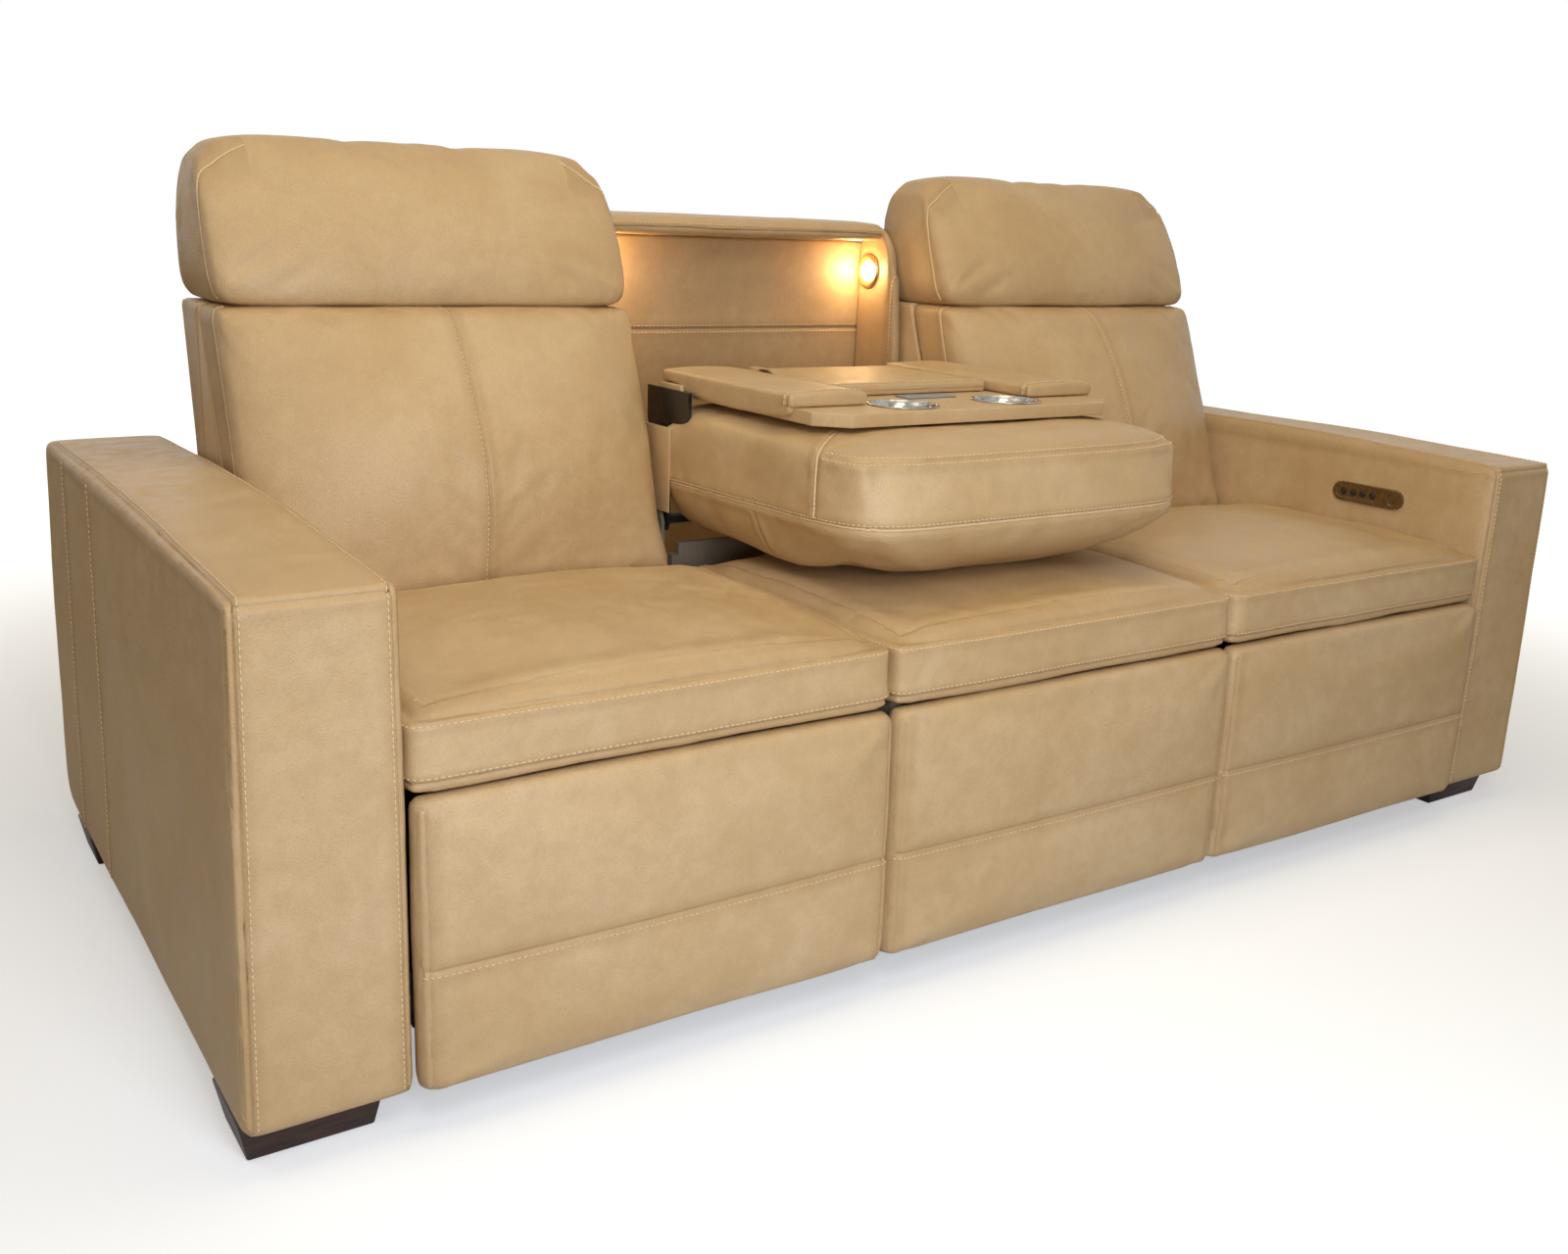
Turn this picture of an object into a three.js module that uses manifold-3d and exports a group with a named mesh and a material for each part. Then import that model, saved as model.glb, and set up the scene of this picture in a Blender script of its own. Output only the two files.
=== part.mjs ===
// Three-seat power reclining sofa whose middle back folds down into a console table.
// Millimetres, +Z up. The sofa faces -Y and X runs across it. Depths are measured back from
// the front faces of the arms, heights up from the floor, and widths out from the middle.
import * as THREE from 'three';
import { mergeVertices } from 'three/addons/utils/BufferGeometryUtils.js';
import Module from 'manifold-3d';

const wasm = await Module();
wasm.setup();

// Driving sizes of the whole sofa
const TOTAL_WIDTH = 2260;
const SEAT_GAP = 3; // running gap on each side of a seat unit
const FIT = 0.3; // gap between pieces that touch
const WELD = 2; // how far welded pieces reach into each other
const CUT = 5; // how far a cutter runs past what it cuts
const MERGE = 1e-3; // vertices closer than this are one

const arm = { width: 186, height: 626, depth: 1088, bottom: 50, edge: 13, lean: 14, crown: 16,
  heel: 80 };
const foot = { inset: 3, setback: 38, width: 158, depth: 112, taper: 10 };
const panel = { front: -18, thick: 45, bottom: 50, top: 395, edge: 13, crown: 5, seam: 149,
  seamWidth: 7, seamDepth: 3 };
const seat = { bottom: 398, seamLow: 408, seamHigh: 477, depth: 585, edge: 9, crown: 36,
  centreCrown: 27, drop: 30, rise: 150, drawIn: 5, tuck: 506 };
const back = { bottom: 458, crease: 848, top: 1072, foot: 541, lean: 254, padBase: 139,
  padCrest: 119, edge: 15, crown: 8, belly: 90, seamDepth: 4, seamWidth: 9, drawIn: 5,
  creaseGap: 5 };
const shell = { edge: 10, apronBottom: 142, apronFront: 812, apronThick: 48, baseRear: 862,
  midRear: 882, midHeight: 654, topRear: 914, restSpread: 180,
  restHalf: 30, restRear: 25, restDepth: 40 };
const rest = { edge: 26, corner: 58, baseFront: 684, baseRear: 922, bulgeRear: 937,
  rearShoulder: 906, crownDepth: 22 };
const restRiseShares = { front: 0.9, rear: 0.8 }; // height of its fullest line, doubled
const niche = { inner: 293, wingThick: 18, back: 956, backThick: 112, top: 952, bottom: 62,
  wingTop: 984, wingFoot: 430, wingFront: 824, wingMid: 841, wingMidHeight: 938, wingTopFront: 890,
  wingStep: 690, wingStepFront: 878, rearCurve: 10, bandHeight: 791, bandDepth: 2, edge: 7 };
const rail = { height: 37, front: 862, rear: 1062, edge: 17, sag: 6 };
const light = { depth: 913, height: 898, bezel: 32, bezelLip: 4.5, bezelBase: 2, lens: 19,
  lensDome: 3.5, floor: 1.5 };
const lowScreen = { front: 603, thick: 10, bottom: 300, top: 488, edge: 3 };
const plate = { depth: 236, height: 541, length: 145, width: 35, thick: 5, pocket: 3.4,
  portRadius: 12, portInset: 19.5, insetLength: 92, insetWidth: 23, insetDepth: 0.8 };
const button = { radius: 6, height: 4.2, dome: 1.2, pitch: 20, travel: 1, gap: 0.6 };

// Console that folds down from the middle back
const hinge = { depth: 640, height: 520, plate: 6, shaft: 9, clearance: 0.7,
  post: 36, tubeHeight: 440, tube: 12, foot: 330 };
const cushion = { front: 84, rear: 618, weltLow: 588, weltHigh: 684, under: 507, underRise: 15, top: 713,
  corner: 100, edge: 10, roll: 150, drawIn: 6 };
const table = { front: 225, rear: 662, half: 276, chamfer: 40, thick: 19, top: 735,
  earFront: 596 };
const bin = { half: 128, front: 404, rear: 612, floor: 642, wall: 5, clearance: 3 };
const cup = { spread: 98, depth: 293, bore: 45, flange: 54, lip: 2.4, wall: 1.6, deep: 62,
  clearance: 1.5 };
const bolster = { inner: 153, outer: 286, front: 302, rear: 667, height: 19, edge: 7, crown: 4 };
const lid = { half: 147, front: 396, rear: 650, thick: 17, edge: 6, crown: 3, tabWidth: 34,
  tabReach: 26, tabThick: 2.4, tabFromRear: 46, knuckle: 5 };
const outlet = { half: 46, front: 345, rear: 379, thick: 2.4, edge: 1 };
const crank = { thick: 6, width: 40, elbow: 688, tipDepth: 560, tipHeight: 677, topHeight: 728,
  inset: 3 };

// Steel base, seat frame and footrest linkage
const tube = { height: 40, bottom: 62, depth: 50, front: 190, rear: 440 };
const track = { width: 15, front: 165, rear: 520, bottom: 100 };
const box = { wall: 15, deck: 18, rear: 668, rearTop: 470, deckRear: 598, strutBottom: 240,
  strutTop: 290 };
const frame = { inset: 15.7, plate: 5, deckThick: 6, front: 75, lipBottom: 358, runner: 26,
  runnerBottom: 150, rear: 690, legBottom: 72, legWidth: 44, beamBottom: 240, beamTop: 330,
  beamFront: 560, beamRear: 600, windowTop: 365, windowRear: 560 };
const recline = { depth: 655, height: 430, pin: 8, ear: 20, earThick: 6, clearance: 0.5, gap: 4 };
const link = { length: 260, width: 18, thick: 5, gap: 2, pin: 5, clearance: 0.6, rootDepth: 135,
  rootHeight: 345, closed: 80, torque: 10, torqueShare: 0.46, tie: 7, tieShare: 0.17 };
const carrier = { bottom: 76, top: 352, tie: 40, plate: 6 };
const drive = { half: 34, front: 250, bottom: 262, top: 322, rail: 20, railFront: 182, edge: 5 };

// Facet counts
const PIN_SIDES = 8;
const ROUND_SIDES = 20;
const SMALL_SIDES = 10;
const ARC_STEPS = 4;

// How sharply padded forms fall away: rounded sides, flat tops, tight edges
const SIDE_POWER = 3;
const FLAT_POWER = 4;
const EDGE_POWER = 8;

// Shares of a cushion's height above which the top's crown starts
const topShares = { seat: 0.85, console: 0.93 };
// The seat's front rises partly quickly, partly slowly
const seatFrontShares = { quick: 0.45, slow: 0.55 };
const seatRearShare = 0.55; // how much of its crown a seat has lost in front of the back
const lensFlatShare = 0.7; // flat middle of the lamp lens

// Derived places that several pieces share
const SEAT_PITCH = (TOTAL_WIDTH - 2 * arm.width) / 3;
const UNIT_HALF = SEAT_PITCH / 2 - SEAT_GAP;
const ARM_INNER = TOTAL_WIDTH / 2 - arm.width;
const REAR = arm.depth;
const MID_DEPTH = (panel.front + REAR) / 2;
const PANEL_BACK = panel.front + panel.thick;
const CLOSED = THREE.MathUtils.degToRad(link.closed);
const SIDE_IN = UNIT_HALF - frame.inset - frame.plate;

// Finishes
const finish = (color, roughness, metalness) => ({ color, roughness, metalness });
const LEATHER = finish(0xc2a074, 0.5, 0);
const LEATHER_DARK = finish(0xa98659, 0.55, 0);
const WOOD = finish(0x3b2215, 0.45, 0);
const STEEL = finish(0x2b2b2d, 0.5, 0.8);
const BRIGHT = finish(0xc9c9c6, 0.22, 1);
const BRONZE = finish(0x8a7350, 0.35, 0.9);
const BLACK = finish(0x121212, 0.4, 0);
const GREY_CLOTH = finish(0x6a6560, 0.95, 0);
const PLATE_GREY = finish(0x7e8a8f, 0.5, 0.2);
const GLOW = finish(0xffe7b8, 0.3, 0);

const sofa = new THREE.Group();

function addNode(name, geometry, look) {
  const material = new THREE.MeshStandardMaterial(look);
  const mesh = new THREE.Mesh(geometry, material);
  mesh.name = name;
  mesh.position.y = -MID_DEPTH;
  sofa.add(mesh);
}

// Solids from merged triangles, joined and cut
function positionOnly(geometry) {
  const plain = geometry.clone();
  for (const key of Object.keys(plain.attributes)) {
    if (key !== 'position') plain.deleteAttribute(key);
  }
  return mergeVertices(plain, MERGE);
}

function solid(geometry) {
  const merged = positionOnly(geometry);
  const mesh = new wasm.Mesh({
    numProp: 3,
    vertProperties: merged.attributes.position.array,
    triVerts: new Uint32Array(merged.index.array),
  });
  mesh.merge();
  return new wasm.Manifold(mesh);
}

function geometryOf(manifold) {
  const mesh = manifold.getMesh();
  const geometry = new THREE.BufferGeometry();
  geometry.setAttribute('position', new THREE.BufferAttribute(mesh.vertProperties, 3));
  geometry.setIndex(new THREE.BufferAttribute(mesh.triVerts, 1));
  return geometry;
}

function fuse(geometries) {
  return geometryOf(geometries.map(solid).reduce((whole, next) => whole.add(next)));
}

function cut(geometry, cutters) {
  return geometryOf(cutters.map(solid).reduce((whole, next) => whole.subtract(next), solid(geometry)));
}

// Outlines
function arc(a, b, radius, from, to, steps) {
  const points = [];
  for (let i = 0; i <= steps; i += 1) {
    const angle = from + (to - from) * i / steps;
    points.push(new THREE.Vector2(a + radius * Math.cos(angle), b + radius * Math.sin(angle)));
  }
  return points;
}

function circle(a, b, radius, sides) {
  return arc(a, b, radius, 0, 2 * Math.PI, sides).slice(0, sides);
}

// A bar with round ends from one point to another, with a round hole at each given share
function barShape(from, to, width, holes) {
  const angle = Math.atan2(to.y - from.y, to.x - from.x);
  const quarter = Math.PI / 2;
  const outline = [
    ...arc(to.x, to.y, width / 2, angle - quarter, angle + quarter, ARC_STEPS),
    ...arc(from.x, from.y, width / 2, angle + quarter, angle + 3 * quarter, ARC_STEPS),
  ];
  const shape = new THREE.Shape(outline);
  for (const hole of holes) {
    const at = from.clone().lerp(to, hole.share);
    shape.holes.push(new THREE.Path(circle(at.x, at.y, hole.radius, PIN_SIDES)));
  }
  return shape;
}

function polygon(pairs) {
  return new THREE.Shape(pairs.map(([a, b]) => new THREE.Vector2(a, b)));
}

// Extrusions. A side view is drawn in depth and height and runs across the sofa, a plan is drawn
// in width and depth and runs up.
const ACROSS = new THREE.Matrix4().makeBasis(
  new THREE.Vector3(0, 1, 0), new THREE.Vector3(0, 0, 1), new THREE.Vector3(1, 0, 0));

function across(shape, x0, x1, edge = 0) {
  const low = Math.min(x0, x1);
  const span = Math.abs(x1 - x0);
  const geometry = new THREE.ExtrudeGeometry(shape, {
    depth: span - 2 * edge, steps: 1, bevelEnabled: edge > 0, bevelThickness: edge,
    bevelSize: edge, bevelOffset: -edge, bevelSegments: 2, curveSegments: ARC_STEPS,
  });
  geometry.translate(0, 0, edge);
  geometry.applyMatrix4(ACROSS);
  geometry.translate(low, 0, 0);
  return geometry;
}

function upward(shape, z0, z1, edge = 0) {
  const geometry = new THREE.ExtrudeGeometry(shape, {
    depth: z1 - z0 - 2 * edge, steps: 1, bevelEnabled: edge > 0, bevelThickness: edge,
    bevelSize: edge, bevelOffset: -edge, bevelSegments: 2, curveSegments: ARC_STEPS,
  });
  geometry.translate(0, 0, z0 + edge);
  return geometry;
}

function block(x0, x1, y0, y1, z0, z1) {
  const geometry = new THREE.BoxGeometry(Math.abs(x1 - x0), Math.abs(y1 - y0), Math.abs(z1 - z0));
  geometry.translate((x0 + x1) / 2, (y0 + y1) / 2, (z0 + z1) / 2);
  return geometry;
}

function rod(x0, x1, y, z, radius, sides = PIN_SIDES) {
  return across(new THREE.Shape(circle(y, z, radius, sides)), x0, x1);
}

// A closed skin over the outside of a lattice; place(i, j, k) gives each surface point.
function latticeSkin(nx, ny, nz, place) {
  const known = new Map();
  const positions = [];
  const faces = [];
  const vertex = (i, j, k) => {
    const key = (i * (ny + 1) + j) * (nz + 1) + k;
    if (!known.has(key)) {
      known.set(key, positions.length / 3);
      positions.push(...place(i, j, k));
    }
    return known.get(key);
  };
  const quad = (a, b, c, d, flip) => {
    if (flip) faces.push(a, c, b, a, d, c);
    else faces.push(a, b, c, a, c, d);
  };
  for (const [k, flip] of [[0, true], [nz, false]]) {
    for (let i = 0; i < nx; i += 1) {
      for (let j = 0; j < ny; j += 1) {
        quad(vertex(i, j, k), vertex(i + 1, j, k), vertex(i + 1, j + 1, k), vertex(i, j + 1, k), flip);
      }
    }
  }
  for (const [j, flip] of [[0, false], [ny, true]]) {
    for (let i = 0; i < nx; i += 1) {
      for (let k = 0; k < nz; k += 1) {
        quad(vertex(i, j, k), vertex(i + 1, j, k), vertex(i + 1, j, k + 1), vertex(i, j, k + 1), flip);
      }
    }
  }
  for (const [i, flip] of [[0, true], [nx, false]]) {
    for (let j = 0; j < ny; j += 1) {
      for (let k = 0; k < nz; k += 1) {
        quad(vertex(i, j, k), vertex(i, j + 1, k), vertex(i, j + 1, k + 1), vertex(i, j, k + 1), flip);
      }
    }
  }
  const geometry = new THREE.BufferGeometry();
  geometry.setAttribute('position', new THREE.Float32BufferAttribute(positions, 3));
  geometry.setIndex(faces);
  return geometry;
}

// Lattice lines along one axis of a padded block: each line is a core coordinate and how far
// its rounding leans outward, from -1 at the low edge to 1 at the high edge.
function latticeLines(low, high, edge, inner, edgeSteps) {
  const lines = [];
  for (let i = 0; i < edgeSteps; i += 1) lines.push([low + edge, i / edgeSteps - 1]);
  const between = inner.filter((at) => at > low + edge && at < high - edge);
  for (const at of [low + edge, ...between.sort((a, b) => a - b), high - edge]) lines.push([at, 0]);
  for (let i = 1; i <= edgeSteps; i += 1) lines.push([high - edge, i / edgeSteps]);
  return lines;
}

function evenly(low, high, count) {
  return Array.from({ length: count }, (_, i) => low + (high - low) * (i + 1) / (count + 1));
}

// A groove needs a line at its bottom and one at each side
const grooveLines = (at, width) => [at - width, at, at + width];

// A block with rounded edges whose surface points are then moved by form(point).
function paddedBlock({ x, y, z, edge, xs = [], ys = [], zs = [], edgeSteps = 2 }, form) {
  const lines = [[x, xs], [y, ys], [z, zs]].map(([[low, high], inner]) =>
    latticeLines(low, high, edge, inner, edgeSteps));
  const [lx, ly, lz] = lines;
  const place = (i, j, k) => {
    const lean = new THREE.Vector3(lx[i][1], ly[j][1], lz[k][1]).normalize().multiplyScalar(edge);
    const point = new THREE.Vector3(lx[i][0], ly[j][0], lz[k][0]).add(lean);
    form(point);
    return [point.x, point.y, point.z];
  };
  return latticeSkin(lx.length - 1, ly.length - 1, lz.length - 1, place);
}

const clamp01 = (value) => Math.min(1, Math.max(0, value));
const smooth = (value) => { const t = clamp01(value); return t * t * (3 - 2 * t); };
const dome = (share, power) => Math.max(0, 1 - Math.abs(share) ** power);
const groove = (distance, width, depth) => -depth * Math.max(0, 1 - Math.abs(distance) / width);

// Pulls a pair of coordinates onto a round corner whose square reaches out past its arc
function pullCorner(a, b, centreA, centreB, signA, signB, radius) {
  const da = (a - centreA) * signA;
  const db = (b - centreB) * signB;
  if (da <= 0 || db <= 0) return [a, b];
  const most = Math.max(da, db);
  const scale = most / Math.hypot(da, db);
  return [centreA + signA * da * scale, centreB + signB * db * scale];
}

// Height shares of the recliner's front line against shares of its lean, by hand from the side view
const backFrontShares = [[0, 0], [0.03, 0.08], [0.12, 0.18], [0.3, 0.31], [0.5, 0.49],
  [0.654, 0.634], [0.85, 0.845], [1, 1.02]];

function alongTable(table, at) {
  let i = 1;
  while (i < table.length - 1 && table[i][0] < at) i += 1;
  const [a0, b0] = table[i - 1];
  const [a1, b1] = table[i];
  return b0 + (b1 - b0) * (at - a0) / (a1 - a0);
}

// How far the back's belly stands out, as shares of the most, against shares of its height
const backBellyShares = [[0, 0], [0.06, 0.34], [0.28, 0.86], [0.44, 0.99], [0.59, 1], [0.77, 0.81],
  [0.94, 0.57], [1, 0.3]];

function backFront(z) {
  return back.foot + back.lean * alongTable(backFrontShares, (z - back.bottom) / (back.top - back.bottom));
}

// Pad and shell part along a straight line
function padRear(z) {
  const share = (z - back.bottom) / (back.crease - back.bottom);
  const base = back.foot + back.padBase;
  const crest = backFront(back.crease) + back.padCrest;
  return base + (crest - base) * share;
}

// Arms: a tall board whose outer side leans in towards the top and whose top is crowned
function armGeometry(side) {
  const inner = ARM_INNER;
  const outer = TOTAL_WIDTH / 2;
  const mid = arm.depth / 2;
  const spec = {
    x: [inner, outer], y: [0, arm.depth], z: [arm.bottom, arm.height], edge: arm.edge,
    xs: [(inner + outer) / 2], ys: [...evenly(0, arm.depth - arm.heel, 3), arm.depth - arm.heel / 2,
      arm.depth - arm.heel], zs: [arm.bottom + arm.heel / 2, arm.bottom + arm.heel,
      (arm.bottom + arm.heel + arm.height) / 2],
  };
  const geometry = paddedBlock(spec, (p) => {
    const rise = (p.z - arm.bottom) / (arm.height - arm.bottom);
    const out = (p.x - inner) / arm.width;
    const along = dome((p.y - mid) / mid, 2);
    p.x -= arm.lean * rise * out;
    if (rise > 1 / 2) p.z += arm.crown * along * (1 - out / 2) * rise;
    const heel = pullCorner(p.y, p.z, arm.depth - arm.heel, arm.bottom + arm.heel, 1, -1, arm.heel);
    [p.y, p.z] = heel;
  });
  return side > 0 ? geometry : mirrored(geometry);
}

// The same shape on the other side of the sofa, with its faces turned out again
function mirrored(geometry) {
  const flipped = positionOnly(geometry);
  flipped.scale(-1, 1, 1);
  const index = flipped.index.array;
  for (let i = 0; i < index.length; i += 3) {
    [index[i + 1], index[i + 2]] = [index[i + 2], index[i + 1]];
  }
  return flipped;
}

// Feet: blocks that taper towards the floor
function footGeometry(side, rear) {
  const x0 = ARM_INNER + arm.width - foot.inset - foot.width;
  const x1 = x0 + foot.width;
  const y0 = rear ? arm.depth - arm.heel - foot.depth : foot.setback;
  const y1 = y0 + foot.depth;
  const top = arm.bottom - FIT;
  const geometry = latticeSkin(1, 1, 1, (i, j, k) => {
    const draw = k === 0 ? foot.taper : 0;
    return [i ? x1 - draw : x0 + draw, j ? y1 - draw : y0 + draw, k ? top : 0];
  });
  return side > 0 ? geometry : mirrored(geometry);
}

// Front panel or footrest panel: padded board with one sewn line across it
function panelGeometry(centre) {
  const x0 = centre - UNIT_HALF;
  const x1 = centre + UNIT_HALF;
  const seamAt = panel.bottom + panel.seam;
  const middle = (panel.bottom + panel.top) / 2;
  const half = (panel.top - panel.bottom) / 2;
  return paddedBlock({
    x: [x0, x1], y: [panel.front, PANEL_BACK], z: [panel.bottom, panel.top], edge: panel.edge,
    xs: [centre], zs: [...grooveLines(seamAt, panel.seamWidth), (seamAt + panel.top) / 2,
      (panel.bottom + seamAt) / 2],
  }, (p) => {
    if (p.y > panel.front + panel.edge) return;
    const spread = dome((p.x - centre) / UNIT_HALF, FLAT_POWER) * dome((p.z - middle) / half, FLAT_POWER);
    p.y += panel.crown * (1 - spread) - groove(p.z - seamAt, panel.seamWidth, panel.seamDepth);
  });
}

// Seat cushion: boxed front, crowned top that drops towards the back, drawn-in sides
function seatGeometry(centre, crown) {
  const x0 = centre - UNIT_HALF;
  const x1 = centre + UNIT_HALF;
  const spec = {
    x: [x0, x1], y: [0, seat.depth], z: [seat.bottom, seat.seamHigh], edge: seat.edge,
    xs: evenly(x0, x1, 5), ys: [seat.rise / 5, seat.rise / 2, seat.rise,
      ...evenly(seat.rise, seat.tuck, 2), seat.tuck, (seat.tuck + back.foot) / 2, back.foot],
    zs: [(seat.seamLow + seat.seamHigh) / 2],
  };
  return paddedBlock(spec, (p) => {
    const sideways = dome((p.x - centre) / UNIT_HALF, SIDE_POWER);
    const boxing = (p.z - seat.bottom) / (seat.seamHigh - seat.bottom);
    const waist = dome(2 * boxing - 1, 2);
    if (boxing > topShares.seat) {
      const forward = Math.sqrt(clamp01(p.y / seat.rise)) * seatFrontShares.quick
        + smooth(p.y / seat.rise) * seatFrontShares.slow;
      const rearward = smooth((p.y - seat.depth / 2) / (seat.tuck - seat.depth / 2));
      const under = smooth((p.y - seat.tuck) / (back.foot - seat.tuck));
      p.z += crown * sideways * forward * (1 - seatRearShare * rearward) * (1 - under)
        - seat.drop * under;
    }
    const outward = clamp01(Math.abs(p.x - centre) / UNIT_HALF) ** EDGE_POWER;
    p.x -= Math.sign(p.x - centre) * seat.drawIn * waist * outward;
  });
}

// Lower back cushion with a sewn line up its middle
function backGeometry(centre) {
  const x0 = centre - UNIT_HALF;
  const x1 = centre + UNIT_HALF;
  const top = back.crease - back.creaseGap / 2;
  const thick = back.padBase;
  const height = top - back.bottom;
  const rows = evenly(back.bottom, top, 5);
  return paddedBlock({
    x: [x0, x1], y: [0, thick], z: [back.bottom, top], edge: back.edge,
    xs: [...grooveLines(centre, back.seamWidth), ...evenly(x0, centre - back.seamWidth, 2),
      ...evenly(centre + back.seamWidth, x1, 2)], zs: rows,
  }, (p) => {
    const share = p.y / thick;
    const rise = (p.z - back.bottom) / height;
    const sideways = dome((p.x - centre) / UNIT_HALF, SIDE_POWER);
    const belly = back.belly * alongTable(backBellyShares, rise) * sideways;
    const front = backFront(p.z) + (back.crown * (1 - sideways) - belly) * (1 - share);
    const seam = (1 - share) * groove(p.x - centre, back.seamWidth, back.seamDepth);
    p.y = front + (padRear(p.z) - front) * share - seam;
    p.x -= Math.sign(p.x - centre) * back.drawIn * dome(2 * rise - 1, 2)
      * clamp01(Math.abs(p.x - centre) / UNIT_HALF) ** EDGE_POWER * dome(2 * share - 1, 2);
  });
}

// Outer back shell: curved board behind the pad, apron below it and two hinge ears
function shellGeometry(centre) {
  const top = back.crease - back.creaseGap / 2;
  const base = back.bottom;
  const gap = FIT;
  const side = polygon([
    [shell.apronFront, shell.apronBottom], [shell.apronFront + shell.apronThick, shell.apronBottom],
    [shell.baseRear, base], [shell.midRear, shell.midHeight], [shell.topRear, top],
    [padRear(top) + gap, top], [padRear(base) + gap, base], [shell.apronFront, base],
  ]);
  const board = across(side, centre - UNIT_HALF, centre + UNIT_HALF, shell.edge);
  const earTop = recline.height + recline.ear;
  const parts = [board];
  for (const sign of [-1, 1]) {
    const outer = centre + sign * (SIDE_IN - recline.gap);
    const inner = outer - sign * recline.earThick;
    const ear = new THREE.Shape([
      ...arc(recline.depth, recline.height, recline.ear, Math.PI / 2, 3 * Math.PI / 2, ARC_STEPS),
      new THREE.Vector2(shell.apronFront + shell.apronThick / 2, recline.height - recline.ear),
      new THREE.Vector2(shell.apronFront + shell.apronThick / 2, base + recline.ear),
      new THREE.Vector2(padRear(base) + recline.ear, base + recline.ear),
      new THREE.Vector2(padRear(base) + recline.ear, earTop),
    ]);
    const bore = circle(recline.depth, recline.height, recline.pin + recline.clearance, ROUND_SIDES / 2);
    ear.holes.push(new THREE.Path(bore));
    parts.push(across(ear, inner, outer));
    const pad = centre + sign * shell.restSpread;
    const padBack = shell.topRear - shell.restRear;
    parts.push(block(pad - shell.restHalf, pad + shell.restHalf, padBack - shell.restDepth, padBack,
      top - shell.edge, back.crease + back.creaseGap / 2 - FIT));
  }
  return fuse(parts);
}

// Headrest: pillow with rounded top corners, full depth of the back
function headrestGeometry(centre) {
  const x0 = centre - UNIT_HALF;
  const x1 = centre + UNIT_HALF;
  const bottom = back.crease + back.creaseGap / 2;
  const depth = rest.baseRear - rest.baseFront;
  const height = back.top - bottom;
  return paddedBlock({
    x: [x0, x1], y: [0, depth], z: [bottom, back.top], edge: rest.edge,
    xs: [...evenly(x0, x1, 3), x0 + rest.corner, x1 - rest.corner], ys: [depth / 2],
    zs: evenly(bottom, back.top, 2),
  }, (p) => {
    const share = p.y / depth;
    const rise = (p.z - bottom) / height;
    const front = rest.baseFront + (backFront(back.top) - rest.baseFront) * rise
      + rest.crownDepth * (1 - dome((p.x - centre) / UNIT_HALF, SIDE_POWER))
      - rest.crownDepth * dome(2 * rise - restRiseShares.front, 2);
    const bulge = (rest.bulgeRear - rest.baseRear) * dome(2 * rise - restRiseShares.rear, 2);
    const rear = rest.baseRear + bulge - (rest.baseRear - rest.rearShoulder) * rise ** SIDE_POWER;
    p.y = front + (rear - front) * share;
    const sign = Math.sign(p.x - centre);
    [p.x, p.z] = pullCorner(p.x, p.z, centre + sign * (UNIT_HALF - rest.corner),
      back.top - rest.corner, sign, 1, rest.corner);
  });
}


// Pivot points of the footrest linkage when closed. Forward is -Y, so bars open away from the root.
function linkPoints() {
  const run = link.length * Math.cos(CLOSED);
  const fall = link.length * Math.sin(CLOSED);
  const at = (steps, drop) => new THREE.Vector2(
    link.rootDepth - steps * run, link.rootHeight - drop * fall);
  return {
    root: at(0, 0), slider: at(0, 1), knee: at(1, 1), ankle: at(1, 0), toe: at(2, 1),
    stay: at(3 / 2, 1 / 2),
  };
}

// The two link planes of one side: the outer one holds the cross and stay bars, the inner one
// the lift bar and the panel carrier.
function linkPlanes(centre, sign) {
  const outer = SIDE_IN - link.gap;
  const inner = outer - link.thick - link.gap;
  return {
    plateFace: centre + sign * SIDE_IN,
    plateBack: centre + sign * (SIDE_IN + frame.plate),
    outerFace: centre + sign * outer,
    outerBack: centre + sign * (outer - link.thick),
    innerFace: centre + sign * inner,
    innerBack: centre + sign * (inner - link.thick),
  };
}

const holeRadius = link.pin + link.clearance;
const share = (at, radius = holeRadius) => ({ share: at, radius });

// Lift bars, hung from the seat frame, with the torque tube the actuator pushes
function liftGeometry(centre) {
  const points = linkPoints();
  const parts = [];
  const tubeAt = points.root.clone().lerp(points.knee, link.torqueShare);
  for (const sign of [-1, 1]) {
    const at = linkPlanes(centre, sign);
    parts.push(across(barShape(points.root, points.knee, link.width, [share(0)]),
      at.innerBack, at.innerFace));
    const middle = points.root.clone().lerp(points.knee, 1 / 2);
    for (const pin of [middle, points.knee]) {
      parts.push(rod(at.innerBack, at.outerFace, pin.x, pin.y, link.pin));
    }
  }
  const reach = SIDE_IN - 2 * link.gap - 3 * link.thick / 2;
  parts.push(rod(centre - reach, centre + reach, tubeAt.x, tubeAt.y, link.torque));
  return fuse(parts);
}

// Cross bars: their root pins slide in the slots of the seat frame's front legs
function crossGeometry(centre) {
  const points = linkPoints();
  const parts = [];
  for (const sign of [-1, 1]) {
    const at = linkPlanes(centre, sign);
    const bar = barShape(points.slider, points.ankle, link.width, [share(1 / 2), share(1)]);
    parts.push(across(bar, at.outerBack, at.outerFace));
    parts.push(rod(at.outerBack, at.plateBack, points.slider.x, points.slider.y, link.pin));
  }
  const tie = points.slider.clone().lerp(points.ankle, link.tieShare);
  const reach = SIDE_IN - link.gap - link.thick / 2;
  parts.push(rod(centre - reach, centre + reach, tie.x, tie.y, link.tie));
  return fuse(parts);
}

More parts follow.
